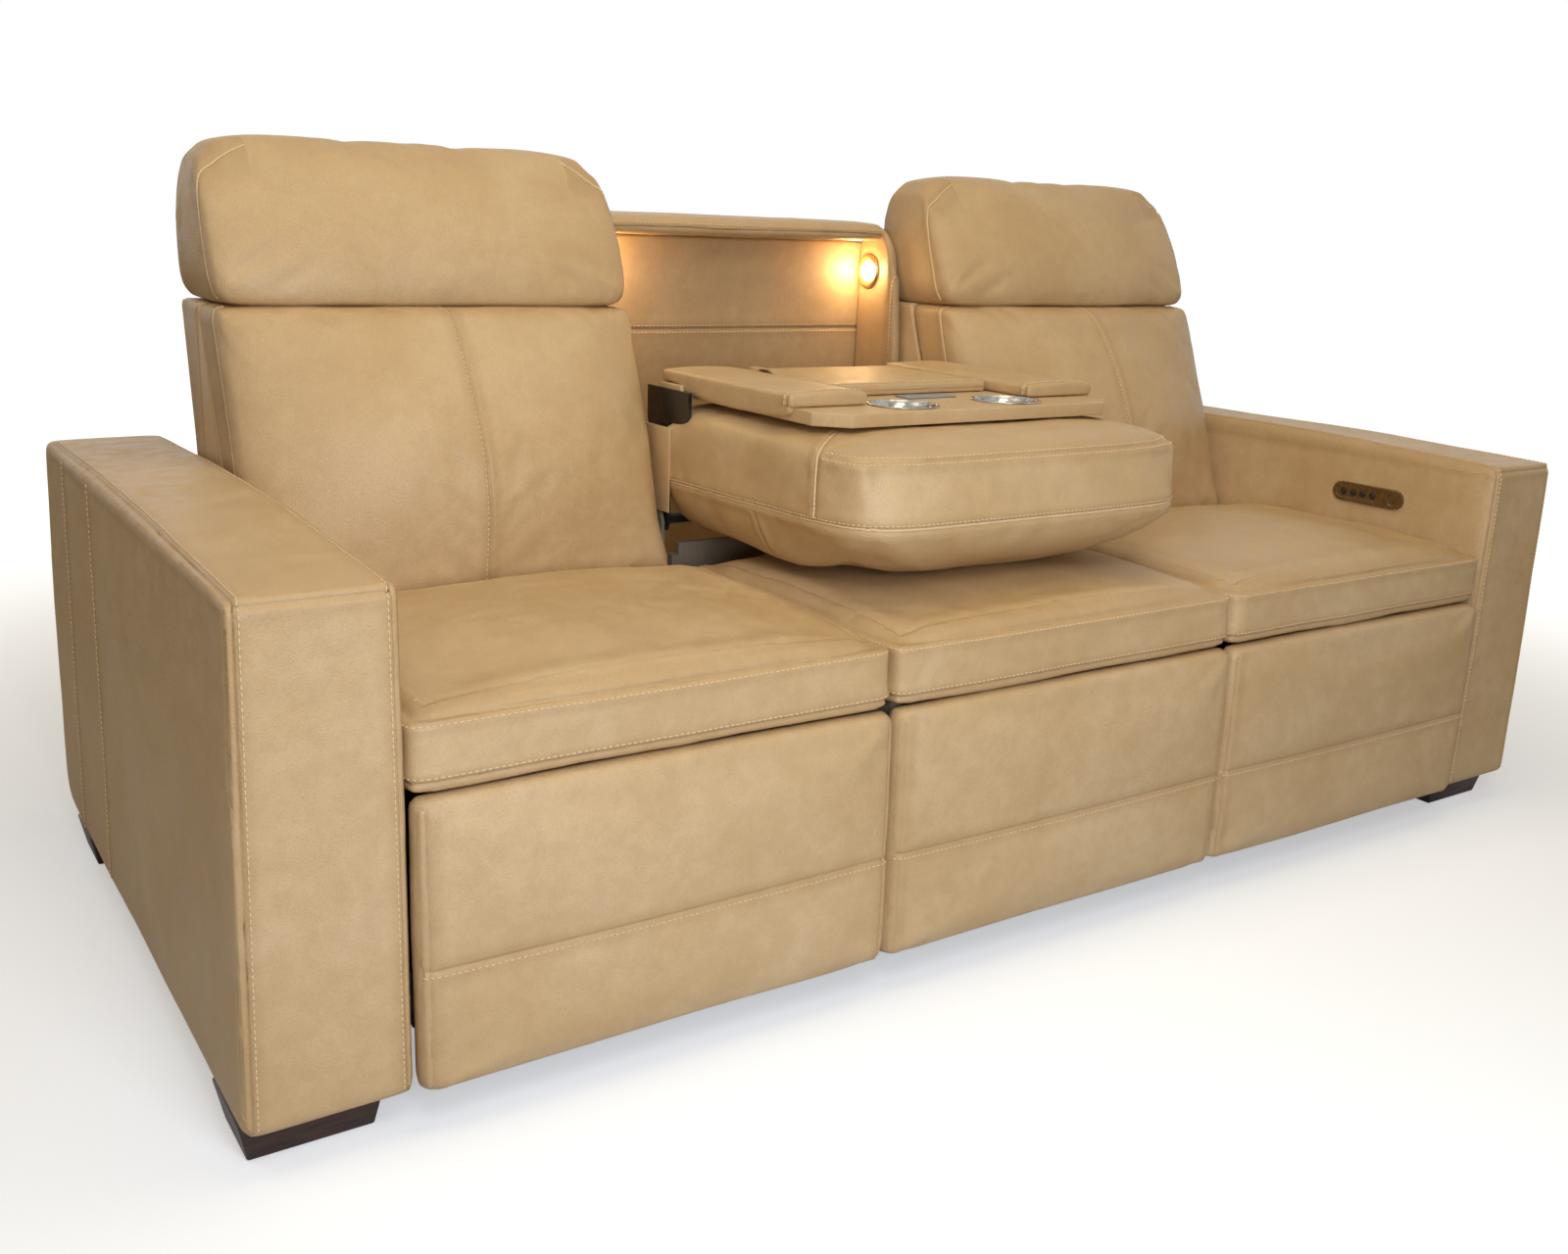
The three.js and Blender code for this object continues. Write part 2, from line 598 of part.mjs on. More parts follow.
// Stay bars, half as long, from the knee to the middle of the panel carrier
function stayGeometry(centre) {
  const points = linkPoints();
  const parts = [];
  for (const sign of [-1, 1]) {
    const at = linkPlanes(centre, sign);
    parts.push(across(barShape(points.knee, points.stay, link.width, [share(0), share(1)]),
      at.outerBack, at.outerFace));
  }
  const tie = points.knee.clone().lerp(points.stay, 1 / 2);
  const reach = SIDE_IN - link.gap - link.thick / 2;
  parts.push(rod(centre - reach, centre + reach, tie.x, tie.y, link.tie));
  return fuse(parts);
}

// Panel carrier: bars with a web that holds the footrest panel, tied by a plate across its back
function carrierGeometry(centre) {
  const points = linkPoints();
  const face = PANEL_BACK + FIT;
  const web = polygon([[face, carrier.bottom], [points.toe.x, points.toe.y],
    [points.ankle.x, points.ankle.y], [face, carrier.top]]);
  const parts = [];
  for (const sign of [-1, 1]) {
    const at = linkPlanes(centre, sign);
    parts.push(across(barShape(points.ankle, points.toe, link.width, []), at.innerBack, at.innerFace));
    parts.push(across(web, at.innerBack, at.innerFace));
    for (const pin of [points.ankle, points.stay]) {
      parts.push(rod(at.innerBack, at.outerFace, pin.x, pin.y, link.pin));
    }
  }
  const reach = SIDE_IN - 2 * link.gap - 3 * link.thick / 2;
  const middle = (carrier.bottom + carrier.top) / 2;
  parts.push(block(centre - reach, centre + reach, face, face + carrier.plate,
    middle - carrier.tie / 2, middle + carrier.tie / 2));
  return fuse(parts);
}

// Seat frame: two side plates with slotted legs and recline bosses, deck, rear cross member
function seatFrameGeometry(centre) {
  const points = linkPoints();
  const deckTop = seat.bottom - FIT;
  const legFront = link.rootDepth - frame.legWidth / 2;
  const legRear = link.rootDepth + frame.legWidth / 2;
  const boss = recline.ear + recline.gap;
  const side = new THREE.Shape([
    new THREE.Vector2(legFront, frame.legBottom), new THREE.Vector2(legRear, frame.legBottom),
    new THREE.Vector2(legRear, frame.runnerBottom),
    new THREE.Vector2(frame.rear - boss, frame.runnerBottom),
    ...arc(recline.depth, recline.height, boss, 0, Math.PI, ARC_STEPS),
    new THREE.Vector2(frame.beamRear, deckTop), new THREE.Vector2(frame.front, deckTop),
    new THREE.Vector2(frame.front, frame.windowTop),
  ]);
  const low = new THREE.Vector2(points.slider.x, points.slider.y);
  const high = new THREE.Vector2(link.rootDepth,
    link.rootHeight - link.length * Math.cos(CLOSED));
  const slotHalf = link.pin + link.clearance;
  side.holes.push(new THREE.Path([
    ...arc(low.x, low.y, slotHalf, -Math.PI, 0, ARC_STEPS),
    ...arc(high.x, high.y, slotHalf, 0, Math.PI, ARC_STEPS),
  ]));
  const windowFront = legRear + frame.runner / 2;
  const windowBottom = frame.runnerBottom + frame.runner;
  side.holes.push(new THREE.Path([[windowFront, windowBottom], [frame.windowRear, windowBottom],
    [frame.windowRear, frame.windowTop], [windowFront, frame.windowTop]]
    .map(([a, b]) => new THREE.Vector2(a, b))));
  const parts = [];
  for (const sign of [-1, 1]) {
    const at = linkPlanes(centre, sign);
    parts.push(across(side, at.plateFace, at.plateBack));
    parts.push(rod(at.plateBack, at.innerBack - sign * WELD / 2, points.root.x, points.root.y, link.pin));
    const reclineEnd = at.plateFace - sign * (recline.gap + recline.earThick + WELD);
    parts.push(rod(at.plateBack, reclineEnd, recline.depth, recline.height, recline.pin, ROUND_SIDES / 2));
  }
  const reach = SIDE_IN + WELD;
  parts.push(block(centre - reach, centre + reach, frame.front, frame.beamRear,
    deckTop - frame.deckThick, deckTop));
  parts.push(block(centre - reach, centre + reach, frame.front, frame.front + frame.plate,
    frame.lipBottom, deckTop - frame.deckThick + WELD));
  parts.push(block(centre - reach, centre + reach, frame.beamFront, frame.beamRear,
    frame.beamBottom, frame.beamTop));
  return fuse(parts);
}

// Electric actuator: motor housing with its guide rail
function driveGeometry(centre) {
  const middle = (drive.bottom + drive.top) / 2;
  const rear = frame.beamFront - FIT;
  const housing = polygon([[drive.front, drive.bottom], [rear, drive.bottom], [rear, drive.top],
    [drive.front, drive.top]]);
  return fuse([
    across(housing, centre - drive.half, centre + drive.half, drive.edge),
    block(centre - drive.rail / 2, centre + drive.rail / 2, drive.railFront, rear - drive.edge,
      middle - drive.rail / 2, middle + drive.rail / 2),
  ]);
}

// Places of the console's hinge, seen across the sofa
const HINGE_OUTER = UNIT_HALF - crank.inset - WELD;
const HINGE_INNER = HINGE_OUTER - hinge.plate;
const CRANK_OUTER = HINGE_INNER - SEAT_GAP;
const CRANK_INNER = CRANK_OUTER - crank.thick;
const BOX_HALF = HINGE_INNER - FIT;

// Front of the niche's back panel: it leans a little forward towards the top
function backPanelFront(z) {
  const share = (z - niche.bottom) / (niche.top - niche.bottom);
  return niche.back + niche.rearCurve * (1 - 2 * share);
}

// Base: two cross tubes between the arms and four seat tracks
function baseGeometry() {
  const reach = ARM_INNER - FIT;
  const parts = [];
  for (const front of [tube.front, tube.rear]) {
    parts.push(block(-reach, reach, front, front + tube.depth, tube.bottom, tube.bottom + tube.height));
  }
  const plateMiddle = SIDE_IN + frame.plate / 2;
  for (const centre of [-SEAT_PITCH, SEAT_PITCH]) {
    for (const sign of [-1, 1]) {
      const at = centre + sign * plateMiddle;
      parts.push(block(at - track.width / 2, at + track.width / 2, track.front, track.rear,
        track.bottom, frame.runnerBottom - FIT));
    }
  }
  return fuse(parts);
}

// Centre frame on the base: two walls and a deck under the middle seat, struts to the niche, and
// two hinge posts with the tube between them
function centreFrameGeometry() {
  const deckTop = seat.bottom - FIT;
  const floor = tube.bottom + tube.height + FIT;
  const stepRear = lowScreen.front + 2 * lowScreen.thick - box.wall / 2;
  const wall = polygon([[PANEL_BACK + FIT, floor], [box.rear, floor],
    [box.rear, deckTop - box.deck], [stepRear, deckTop - box.deck], [stepRear, box.rearTop],
    [box.deckRear, box.rearTop],
    [box.deckRear, deckTop], [PANEL_BACK + FIT, deckTop]]);
  const half = hinge.post / 2;
  const post = new THREE.Shape([
    new THREE.Vector2(hinge.depth - half, hinge.foot), new THREE.Vector2(hinge.depth + half, hinge.foot),
    ...arc(hinge.depth, hinge.height, half, 0, Math.PI, ARC_STEPS),
  ]);
  post.holes.push(new THREE.Path(circle(hinge.depth, hinge.height, hinge.shaft + hinge.clearance,
    ROUND_SIDES / 2)));
  const parts = [];
  for (const sign of [-1, 1]) {
    const inner = sign * (BOX_HALF - box.wall);
    parts.push(across(wall, inner, sign * BOX_HALF));
    parts.push(block(inner, sign * BOX_HALF, box.rear - WELD, backPanelFront(box.strutTop) - FIT,
      box.strutBottom, box.strutTop));
    parts.push(across(post, sign * HINGE_INNER, sign * HINGE_OUTER));
    parts.push(block(sign * (BOX_HALF - WELD), sign * (HINGE_INNER + WELD), hinge.depth - half + FIT,
      hinge.depth + half - FIT, hinge.foot + FIT, deckTop - box.deck - FIT));
  }
  const deckHalf = BOX_HALF - box.wall + WELD;
  parts.push(block(-deckHalf, deckHalf, PANEL_BACK + box.wall, box.deckRear, deckTop - box.deck, deckTop));
  const reach = HINGE_INNER + WELD;
  parts.push(rod(-reach, reach, hinge.depth, hinge.tubeHeight, hinge.tube, ROUND_SIDES / 2));
  return fuse(parts);
}

// Grey fabric screen behind the centre cushion, held between the box's walls
function screenGeometry() {
  const half = BOX_HALF - box.wall - FIT;
  const rear = lowScreen.front + lowScreen.thick;
  const side = polygon([[lowScreen.front, lowScreen.bottom], [rear, lowScreen.bottom],
    [rear, lowScreen.top], [lowScreen.front, lowScreen.top]]);
  return across(side, -half, half, lowScreen.edge);
}

// Niche back: padded panel with two sewn lines, down to the base
function nicheBackGeometry() {
  const rear = niche.back + niche.backThick;
  return paddedBlock({
    x: [-UNIT_HALF, UNIT_HALF], y: [niche.back, rear], z: [niche.bottom, niche.top], edge: niche.edge,
    xs: [0], zs: [...grooveLines(niche.bandHeight, niche.edge), (niche.bottom + niche.bandHeight) / 2],
  }, (p) => {
    if (p.y > (niche.back + rear) / 2) return;
    p.y += backPanelFront(p.z) - niche.back - groove(p.z - niche.bandHeight, niche.edge, niche.bandDepth);
  });
}

// Rolled rail over the niche, between the wings
function railGeometry() {
  const half = niche.inner - FIT;
  const bottom = niche.top + FIT;
  return paddedBlock({
    x: [-half, half], y: [rail.front, rail.rear], z: [bottom, bottom + rail.height], edge: rail.edge,
    xs: [0], ys: [(rail.front + rail.rear) / 2],
  }, (p) => {
    if (p.z < bottom + rail.height / 2) return;
    p.z -= rail.sag * smooth((rail.front + rail.edge * 2 - p.y) / (rail.edge * 2));
  });
}

// Wings on both sides of the niche
function wingGeometry(side) {
  const back = (z) => backPanelFront(z) - FIT;
  const outline = polygon([
    [niche.wingStepFront, niche.wingFoot], [back(niche.wingFoot), niche.wingFoot],
    [back(niche.top), niche.top], [back(niche.top), niche.wingTop], [niche.wingTopFront, niche.wingTop],
    [niche.wingMid, niche.wingMidHeight],
    [niche.wingFront, niche.wingStep + (niche.wingMidHeight - niche.wingStep) / 4],
    [niche.wingFront, niche.wingStep],
    [niche.wingStepFront, niche.wingStep - (niche.wingStepFront - niche.wingFront)],
  ]);
  return across(outline, side * niche.inner, side * (niche.inner + niche.wingThick), niche.edge);
}

// A turned piece whose axis runs across the sofa; its profile gives radius and height off the wall
function turnedAcross(profile, side, wall, y, z, sides = ROUND_SIDES) {
  const geometry = new THREE.LatheGeometry(profile.map(([r, h]) => new THREE.Vector2(r, h)), sides);
  geometry.rotateZ(side > 0 ? Math.PI / 2 : -Math.PI / 2);
  geometry.translate(side * wall, y, z);
  return geometry;
}

function bezelGeometry(side) {
  const inner = light.lens + FIT;
  const ring = light.bezel - inner;
  return turnedAcross([[inner, 0], [light.bezel, 0], [light.bezel, light.bezelBase],
    [light.bezel - ring / 4, light.bezelLip], [inner + ring / 4, light.bezelLip],
    [inner, light.bezelBase],
    [inner, 0]], side, niche.inner - FIT, light.depth, light.height);
}

function lensGeometry(side) {
  return turnedAcross([[0, 0], [light.lens, 0], [light.lens, light.floor],
    [light.lens * lensFlatShare, light.lensDome], [0, light.lensDome + light.floor / 2]], side,
  niche.inner - FIT, light.depth, light.height);
}

// Switch plate on the inner side of an arm, with a strip of four button pockets and a round port
function stadium(y, z, length, width) {
  const reach = (length - width) / 2;
  const quarter = Math.PI / 2;
  return new THREE.Shape([
    ...arc(y + reach, z, width / 2, -quarter, quarter, ARC_STEPS + 2),
    ...arc(y - reach, z, width / 2, quarter, 3 * quarter, ARC_STEPS + 2),
  ]);
}

const PLATE_FRONT = plate.depth - plate.length / 2;
const STRIP_MIDDLE = plate.depth + plate.length / 2 - plate.insetLength / 2
  - (plate.width - plate.insetWidth) / 2;
const buttonDepth = (index) => STRIP_MIDDLE + (index - 3 / 2) * button.pitch;

function plateGeometry(side) {
  const wall = ARM_INNER - FIT;
  const face = wall - plate.thick;
  const outline = stadium(plate.depth, plate.height, plate.length, plate.width);
  const body = across(outline, side * wall, side * face);
  const stripFloor = face + plate.insetDepth;
  const cutters = [across(stadium(STRIP_MIDDLE, plate.height, plate.insetLength, plate.insetWidth),
    side * stripFloor, side * (face - CUT))];
  const radius = button.radius + button.gap;
  for (const index of [0, 1, 2, 3]) {
    cutters.push(rod(side * (face + plate.pocket + plate.insetDepth), side * (face - CUT),
      buttonDepth(index), plate.height, radius, SMALL_SIDES));
  }
  cutters.push(rod(side * (face + plate.pocket), side * (face - CUT), PLATE_FRONT + plate.portInset,
    plate.height, plate.portRadius, ROUND_SIDES));
  return cut(body, cutters);
}

function buttonGeometry(side, index) {
  const floor = ARM_INNER - FIT - plate.thick + plate.pocket + plate.insetDepth - FIT - button.travel;
  return turnedAcross([[0, 0], [button.radius, 0], [button.radius, button.height - button.dome],
    [0, button.height]], side, floor, buttonDepth(index), plate.height, SMALL_SIDES);
}

// Console cushion: boxed sides, rolled underside, notches for the hinge cranks, pockets for bin and cups
function consoleCushionGeometry() {
  const rollShare = (distance) => Math.sqrt(1 - (1 - clamp01(distance / cushion.roll)) ** 2);
  const spec = {
    x: [-UNIT_HALF, UNIT_HALF], y: [cushion.front, cushion.rear], z: [cushion.weltLow, cushion.weltHigh],
    edge: cushion.edge, zs: [(cushion.weltLow + cushion.weltHigh) / 2],
    xs: [0], ys: evenly(cushion.front + cushion.roll, cushion.rear, 2),
  };
  for (const part of [1 / 5, 1 / 2, 1]) {
    spec.xs.push(-UNIT_HALF + cushion.roll * part, UNIT_HALF - cushion.roll * part);
    spec.ys.push(cushion.front + cushion.roll * part);
  }
  const body = paddedBlock(spec, (p) => {
    const boxing = (p.z - cushion.weltLow) / (cushion.weltHigh - cushion.weltLow);
    const across = rollShare(UNIT_HALF - Math.abs(p.x));
    const along = rollShare(p.y - cushion.front);
    const slope = (p.y - cushion.front) / (cushion.rear - cushion.front);
    if (boxing > topShares.console) p.z += (cushion.top - cushion.weltHigh) * across * along;
    if (boxing < 1 - topShares.console) {
      p.z -= (cushion.weltLow - cushion.under - cushion.underRise * slope) * across * along;
    }
    p.y += cushion.drawIn * 4 * boxing ** 2 * (1 - along);
    [p.x, p.y] = pullCorner(p.x, p.y, Math.sign(p.x) * (UNIT_HALF - cushion.corner),
      cushion.front + cushion.corner, Math.sign(p.x), -1, cushion.corner);
  });
  const cutters = [block(-bin.half - bin.clearance, bin.half + bin.clearance, bin.front - bin.clearance,
    cushion.rear + CUT, bin.floor - FIT, cushion.top + CUT)];
  const wellBottom = table.top + FIT - cup.deep - cup.clearance;
  for (const side of [-1, 1]) {
    const well = new THREE.Shape(circle(side * cup.spread, cup.depth, cup.bore + cup.wall + cup.clearance,
      ROUND_SIDES));
    cutters.push(upward(well, wellBottom, cushion.top + CUT));
    cutters.push(block(side * (CRANK_INNER - WELD), side * (UNIT_HALF + CUT), crank.tipDepth - WELD,
      cushion.rear + CUT, crank.tipHeight - WELD, cushion.top + CUT));
  }
  return cut(body, cutters);
}

// Table slab with cup holes and the storage bin hung under it
function tableGeometry() {
  const bottom = table.top - table.thick;
  const inner = bin.half - bin.wall;
  const plan = polygon([
    [-table.half + table.chamfer, table.front], [table.half - table.chamfer, table.front],
    [table.half, table.front + table.chamfer], [table.half, table.rear], [-table.half, table.rear],
    [-table.half, table.front + table.chamfer]]);
  const ears = CRANK_INNER - FIT;
  const body = fuse([upward(plan, bottom, table.top),
    block(-ears, ears, table.earFront, table.rear, bottom, table.top),
    block(-bin.half, bin.half, bin.front, bin.rear, bin.floor, bottom + WELD)]);
  const cutters = [block(-inner, inner, bin.front + bin.wall, bin.rear - bin.wall, bin.floor + bin.wall,
    table.top + CUT)];
  for (const side of [-1, 1]) {
    const hole = new THREE.Shape(circle(side * cup.spread, cup.depth, cup.bore + cup.wall + cup.clearance,
      ROUND_SIDES));
    cutters.push(upward(hole, bottom - CUT, table.top + CUT));
  }
  return cut(body, cutters);
}

function cupGeometry(side) {
  const outer = cup.bore + cup.wall;
  const seatLevel = table.top + FIT;
  const profile = [[0, -cup.deep], [outer - cup.lip, -cup.deep], [outer, -cup.deep + cup.lip], [outer, 0],
    [cup.flange, 0], [cup.flange, cup.lip / 2], [cup.flange - cup.lip, cup.lip], [cup.bore, cup.lip / 2],
    [cup.bore, -cup.deep + cup.wall + cup.lip], [cup.bore - cup.lip, -cup.deep + cup.wall],
    [0, -cup.deep + cup.wall]];
  const geometry = new THREE.LatheGeometry(profile.map(([r, h]) => new THREE.Vector2(r, h)), ROUND_SIDES);
  geometry.rotateX(Math.PI / 2);
  geometry.translate(side * cup.spread, cup.depth, seatLevel);
  return geometry;
}

// Padded bolster on the table, with a skirt down over the edge of the table
function bolsterGeometry(side) {
  const bottom = table.top + FIT;
  const middle = (bolster.inner + bolster.outer) / 2;
  const half = (bolster.outer - bolster.inner) / 2;
  const geometry = paddedBlock({
    x: [bolster.inner, bolster.outer], y: [bolster.front, bolster.rear],
    z: [bottom, bottom + bolster.height],
    edge: bolster.edge, xs: [middle], ys: [(bolster.front + bolster.rear) / 2],
  }, (p) => {
    if (p.z > bottom + bolster.height / 2) p.z += bolster.crown * dome((p.x - middle) / half, 2);
  });
  const skirted = fuse([geometry, block(table.half + FIT, bolster.outer, bolster.front + bolster.edge,
    table.earFront - FIT, table.top - table.thick, bottom + bolster.edge)]);
  return side > 0 ? skirted : mirrored(skirted);
}

// Storage lid with its hinge knuckle and a pull tab that laps over the left bolster
const LID_AXIS = { y: lid.rear, z: table.top + FIT + lid.knuckle };

function lidGeometry() {
  const bottom = table.top + FIT;
  const middle = (lid.front + lid.rear) / 2;
  const half = (lid.rear - lid.front) / 2;
  const pad = paddedBlock({
    x: [-lid.half, lid.half], y: [lid.front, lid.rear], z: [bottom, bottom + lid.thick], edge: lid.edge,
    xs: [0], ys: [middle],
  }, (p) => {
    if (p.z > bottom + lid.thick / 2) {
      p.z += lid.crown * dome(p.x / lid.half, FLAT_POWER) * dome((p.y - middle) / half, FLAT_POWER);
    }
  });
  const knuckle = rod(-lid.half + lid.edge * 2, lid.half - lid.edge * 2, LID_AXIS.y, LID_AXIS.z,
    lid.knuckle - FIT / 2, ROUND_SIDES / 2);
  const root = -lid.half + lid.edge;
  const padTop = bottom + lid.thick;
  const tip = -lid.half - lid.tabReach;
  const level = bottom + bolster.height + bolster.crown + FIT * 2;
  const tab = polygon([[root, padTop - lid.edge], [root, level + lid.tabThick],
    [tip, level + lid.tabThick], [tip, level], [-lid.half, level]]);
  const strap = new THREE.ExtrudeGeometry(tab, { depth: lid.tabWidth, steps: 1, bevelEnabled: false });
  strap.applyMatrix4(new THREE.Matrix4().makeBasis(
    new THREE.Vector3(1, 0, 0), new THREE.Vector3(0, 0, 1), new THREE.Vector3(0, -1, 0)));
  strap.translate(0, lid.rear - lid.tabFromRear, 0);
  return fuse([pad, knuckle, strap]);
}

function outletGeometry() {
  const bottom = table.top + FIT;
  const plan = polygon([[-outlet.half, outlet.front], [outlet.half, outlet.front],
    [outlet.half, outlet.rear], [-outlet.half, outlet.rear]]);
  return upward(plan, bottom, bottom + outlet.thick, outlet.edge);
}

// Cranks that carry the console on the pivot shaft
function crankGeometry() {
  const half = crank.width / 2;
  const outline = new THREE.Shape([
    ...arc(hinge.depth, hinge.height, half, -Math.PI, 0, ARC_STEPS),
    new THREE.Vector2(hinge.depth + half, (hinge.height + crank.elbow) / 2),
    new THREE.Vector2(crank.elbow, crank.tipHeight), new THREE.Vector2(crank.elbow, crank.topHeight),
    new THREE.Vector2(crank.tipDepth, crank.topHeight),
    ...arc(crank.tipDepth + half / 2, crank.tipHeight + half / 2, half / 2, Math.PI, 3 * Math.PI / 2,
      ARC_STEPS),
    new THREE.Vector2(hinge.depth - half, crank.tipHeight),
  ]);
  const parts = [-1, 1].map((side) => across(outline, side * CRANK_INNER, side * CRANK_OUTER));
  const reach = HINGE_OUTER + WELD;
  parts.push(rod(-reach, reach, hinge.depth, hinge.height, hinge.shaft, ROUND_SIDES / 2));
  return fuse(parts);
}

const SIDES = [['left', -1], ['right', 1]];

for (const [name, side] of SIDES) {
  addNode(`arm_${name}`, armGeometry(side), LEATHER);
  addNode(`foot_front_${name}`, footGeometry(side, false), WOOD);
  addNode(`foot_rear_${name}`, footGeometry(side, true), WOOD);
  addNode(`niche_wing_${name}`, wingGeometry(side), LEATHER_DARK);
  addNode(`light_bezel_${name}`, bezelGeometry(side), BRONZE);
  addNode(`light_lens_${name}`, lensGeometry(side), GLOW);
  addNode(`switch_plate_${name}`, plateGeometry(side), BRONZE);
  for (const index of [0, 1, 2, 3]) {
    addNode(`button_${name}_${index + 1}`, buttonGeometry(side, index), BLACK);
  }
}

addNode('base_frame', baseGeometry(), STEEL);
addNode('centre_seat_cushion', seatGeometry(0, seat.centreCrown), LEATHER);
addNode('centre_front_panel', panelGeometry(0), LEATHER);
addNode('lower_screen', screenGeometry(), GREY_CLOTH);
addNode('niche_back', nicheBackGeometry(), LEATHER_DARK);
addNode('niche_rail', railGeometry(), LEATHER);
addNode('centre_frame', centreFrameGeometry(), STEEL);

addNode('console_cushion', consoleCushionGeometry(), LEATHER);
addNode('console_table', tableGeometry(), LEATHER);
addNode('console_cranks', crankGeometry(), STEEL);
addNode('console_lid', lidGeometry(), LEATHER);
addNode('outlet_plate', outletGeometry(), PLATE_GREY);
for (const [name, side] of SIDES) {
  addNode(`console_bolster_${name}`, bolsterGeometry(side), LEATHER);
  addNode(`cup_holder_${name}`, cupGeometry(side), BRIGHT);
}

for (const [name, side] of SIDES) {
  const centre = side * SEAT_PITCH;
  addNode(`${name}_seat_frame`, seatFrameGeometry(centre), STEEL);
  addNode(`${name}_seat_cushion`, seatGeometry(centre, seat.crown), LEATHER);
  addNode(`${name}_actuator`, driveGeometry(centre), BLACK);
  addNode(`${name}_back_shell`, shellGeometry(centre), LEATHER_DARK);
  addNode(`${name}_back_cushion`, backGeometry(centre), LEATHER);
  addNode(`${name}_headrest`, headrestGeometry(centre), LEATHER);
  addNode(`${name}_lift_bars`, liftGeometry(centre), STEEL);
  addNode(`${name}_cross_bars`, crossGeometry(centre), STEEL);
  addNode(`${name}_stay_bars`, stayGeometry(centre), STEEL);
  addNode(`${name}_panel_carrier`, carrierGeometry(centre), STEEL);
  addNode(`${name}_footrest_panel`, panelGeometry(centre), LEATHER);
}

export default sofa;
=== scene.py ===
"""Looks of a three-seat leather recliner sofa whose middle back folds down as a console.

Sizes in the classes are millimetres in the part's frame: X across the sofa, -Y the way it faces, Z up.
Depths are taken from the arm fronts, and depth() turns them into Y. Meshes are made in metres, with
every finished piece's object at the origin.
"""

import logging
import math
from dataclasses import dataclass, replace
from enum import Enum
from typing import Callable, Iterable, Sequence

import bmesh
import bpy
import numpy as np
from mathutils import Matrix, Vector, noise
from mathutils.bvhtree import BVHTree


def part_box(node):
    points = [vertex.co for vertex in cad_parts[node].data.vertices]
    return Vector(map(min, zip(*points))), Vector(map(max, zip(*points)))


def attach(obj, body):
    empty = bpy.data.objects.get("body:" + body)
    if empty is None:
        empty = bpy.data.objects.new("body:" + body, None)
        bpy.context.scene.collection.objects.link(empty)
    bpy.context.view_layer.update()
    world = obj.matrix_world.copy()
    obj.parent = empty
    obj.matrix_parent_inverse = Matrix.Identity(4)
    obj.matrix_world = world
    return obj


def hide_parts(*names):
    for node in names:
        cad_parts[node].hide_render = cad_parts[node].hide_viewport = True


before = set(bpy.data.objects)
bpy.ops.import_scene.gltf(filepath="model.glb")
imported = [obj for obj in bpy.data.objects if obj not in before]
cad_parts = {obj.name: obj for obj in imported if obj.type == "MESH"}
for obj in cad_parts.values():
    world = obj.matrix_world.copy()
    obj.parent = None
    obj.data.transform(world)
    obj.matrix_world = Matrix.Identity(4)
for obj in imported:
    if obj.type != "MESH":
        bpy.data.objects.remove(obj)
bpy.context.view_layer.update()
LOG = logging.getLogger("sofa")
MM = 0.001
DEPTH_SHIFT = -535.0
SEAT_PITCH = 629.333
UNIT_HALF = 311.667
ARM_INNER = 944.0
HALF_WIDTH = 1130.0
SOFT_VOXEL = 8.0
HOLD = 4.5
SHARP = 40.0
Keep = Callable[[np.ndarray], np.ndarray]
Colour = tuple[float, float, float]
Place = tuple[float, float, float]
FLOAT = "NodeSocketFloat"
WHITE = (1.0, 1.0, 1.0, 1.0)


class Side(Enum):
    """The two ends of the sofa, as seen from the front."""

    LEFT = -1
    RIGHT = 1

    @property
    def word(self) -> str:
        """Name of the side in lower case."""
        return self.name.lower()


class Slot(Enum):
    """Material slots of the part's record."""

    LEATHER = "tan_leather"
    WOOD = "dark_wood"
    STAINLESS = "stainless"
    BRONZE = "bronze"
    PLASTIC = "black_plastic"
    OUTLET = "outlet_grey"
    LENS = "lamp_lens"


class Effect(Enum):
    """Surface effects that several finishes share."""

    GRAIN = "hide_grain"
    MOTTLING = "mottling"
    CREASE = "crease_dirt"
    BRUSHED = "brushed"


def depth(value: float) -> float:
    """Depth from the arm fronts, in millimetres, as a Y of the part's frame."""
    return value + DEPTH_SHIFT


def rgba(colour: Colour) -> tuple[float, float, float, float]:
    """Colour with full alpha."""
    return (*colour, 1.0)


# Node trees and the effects that finishes share


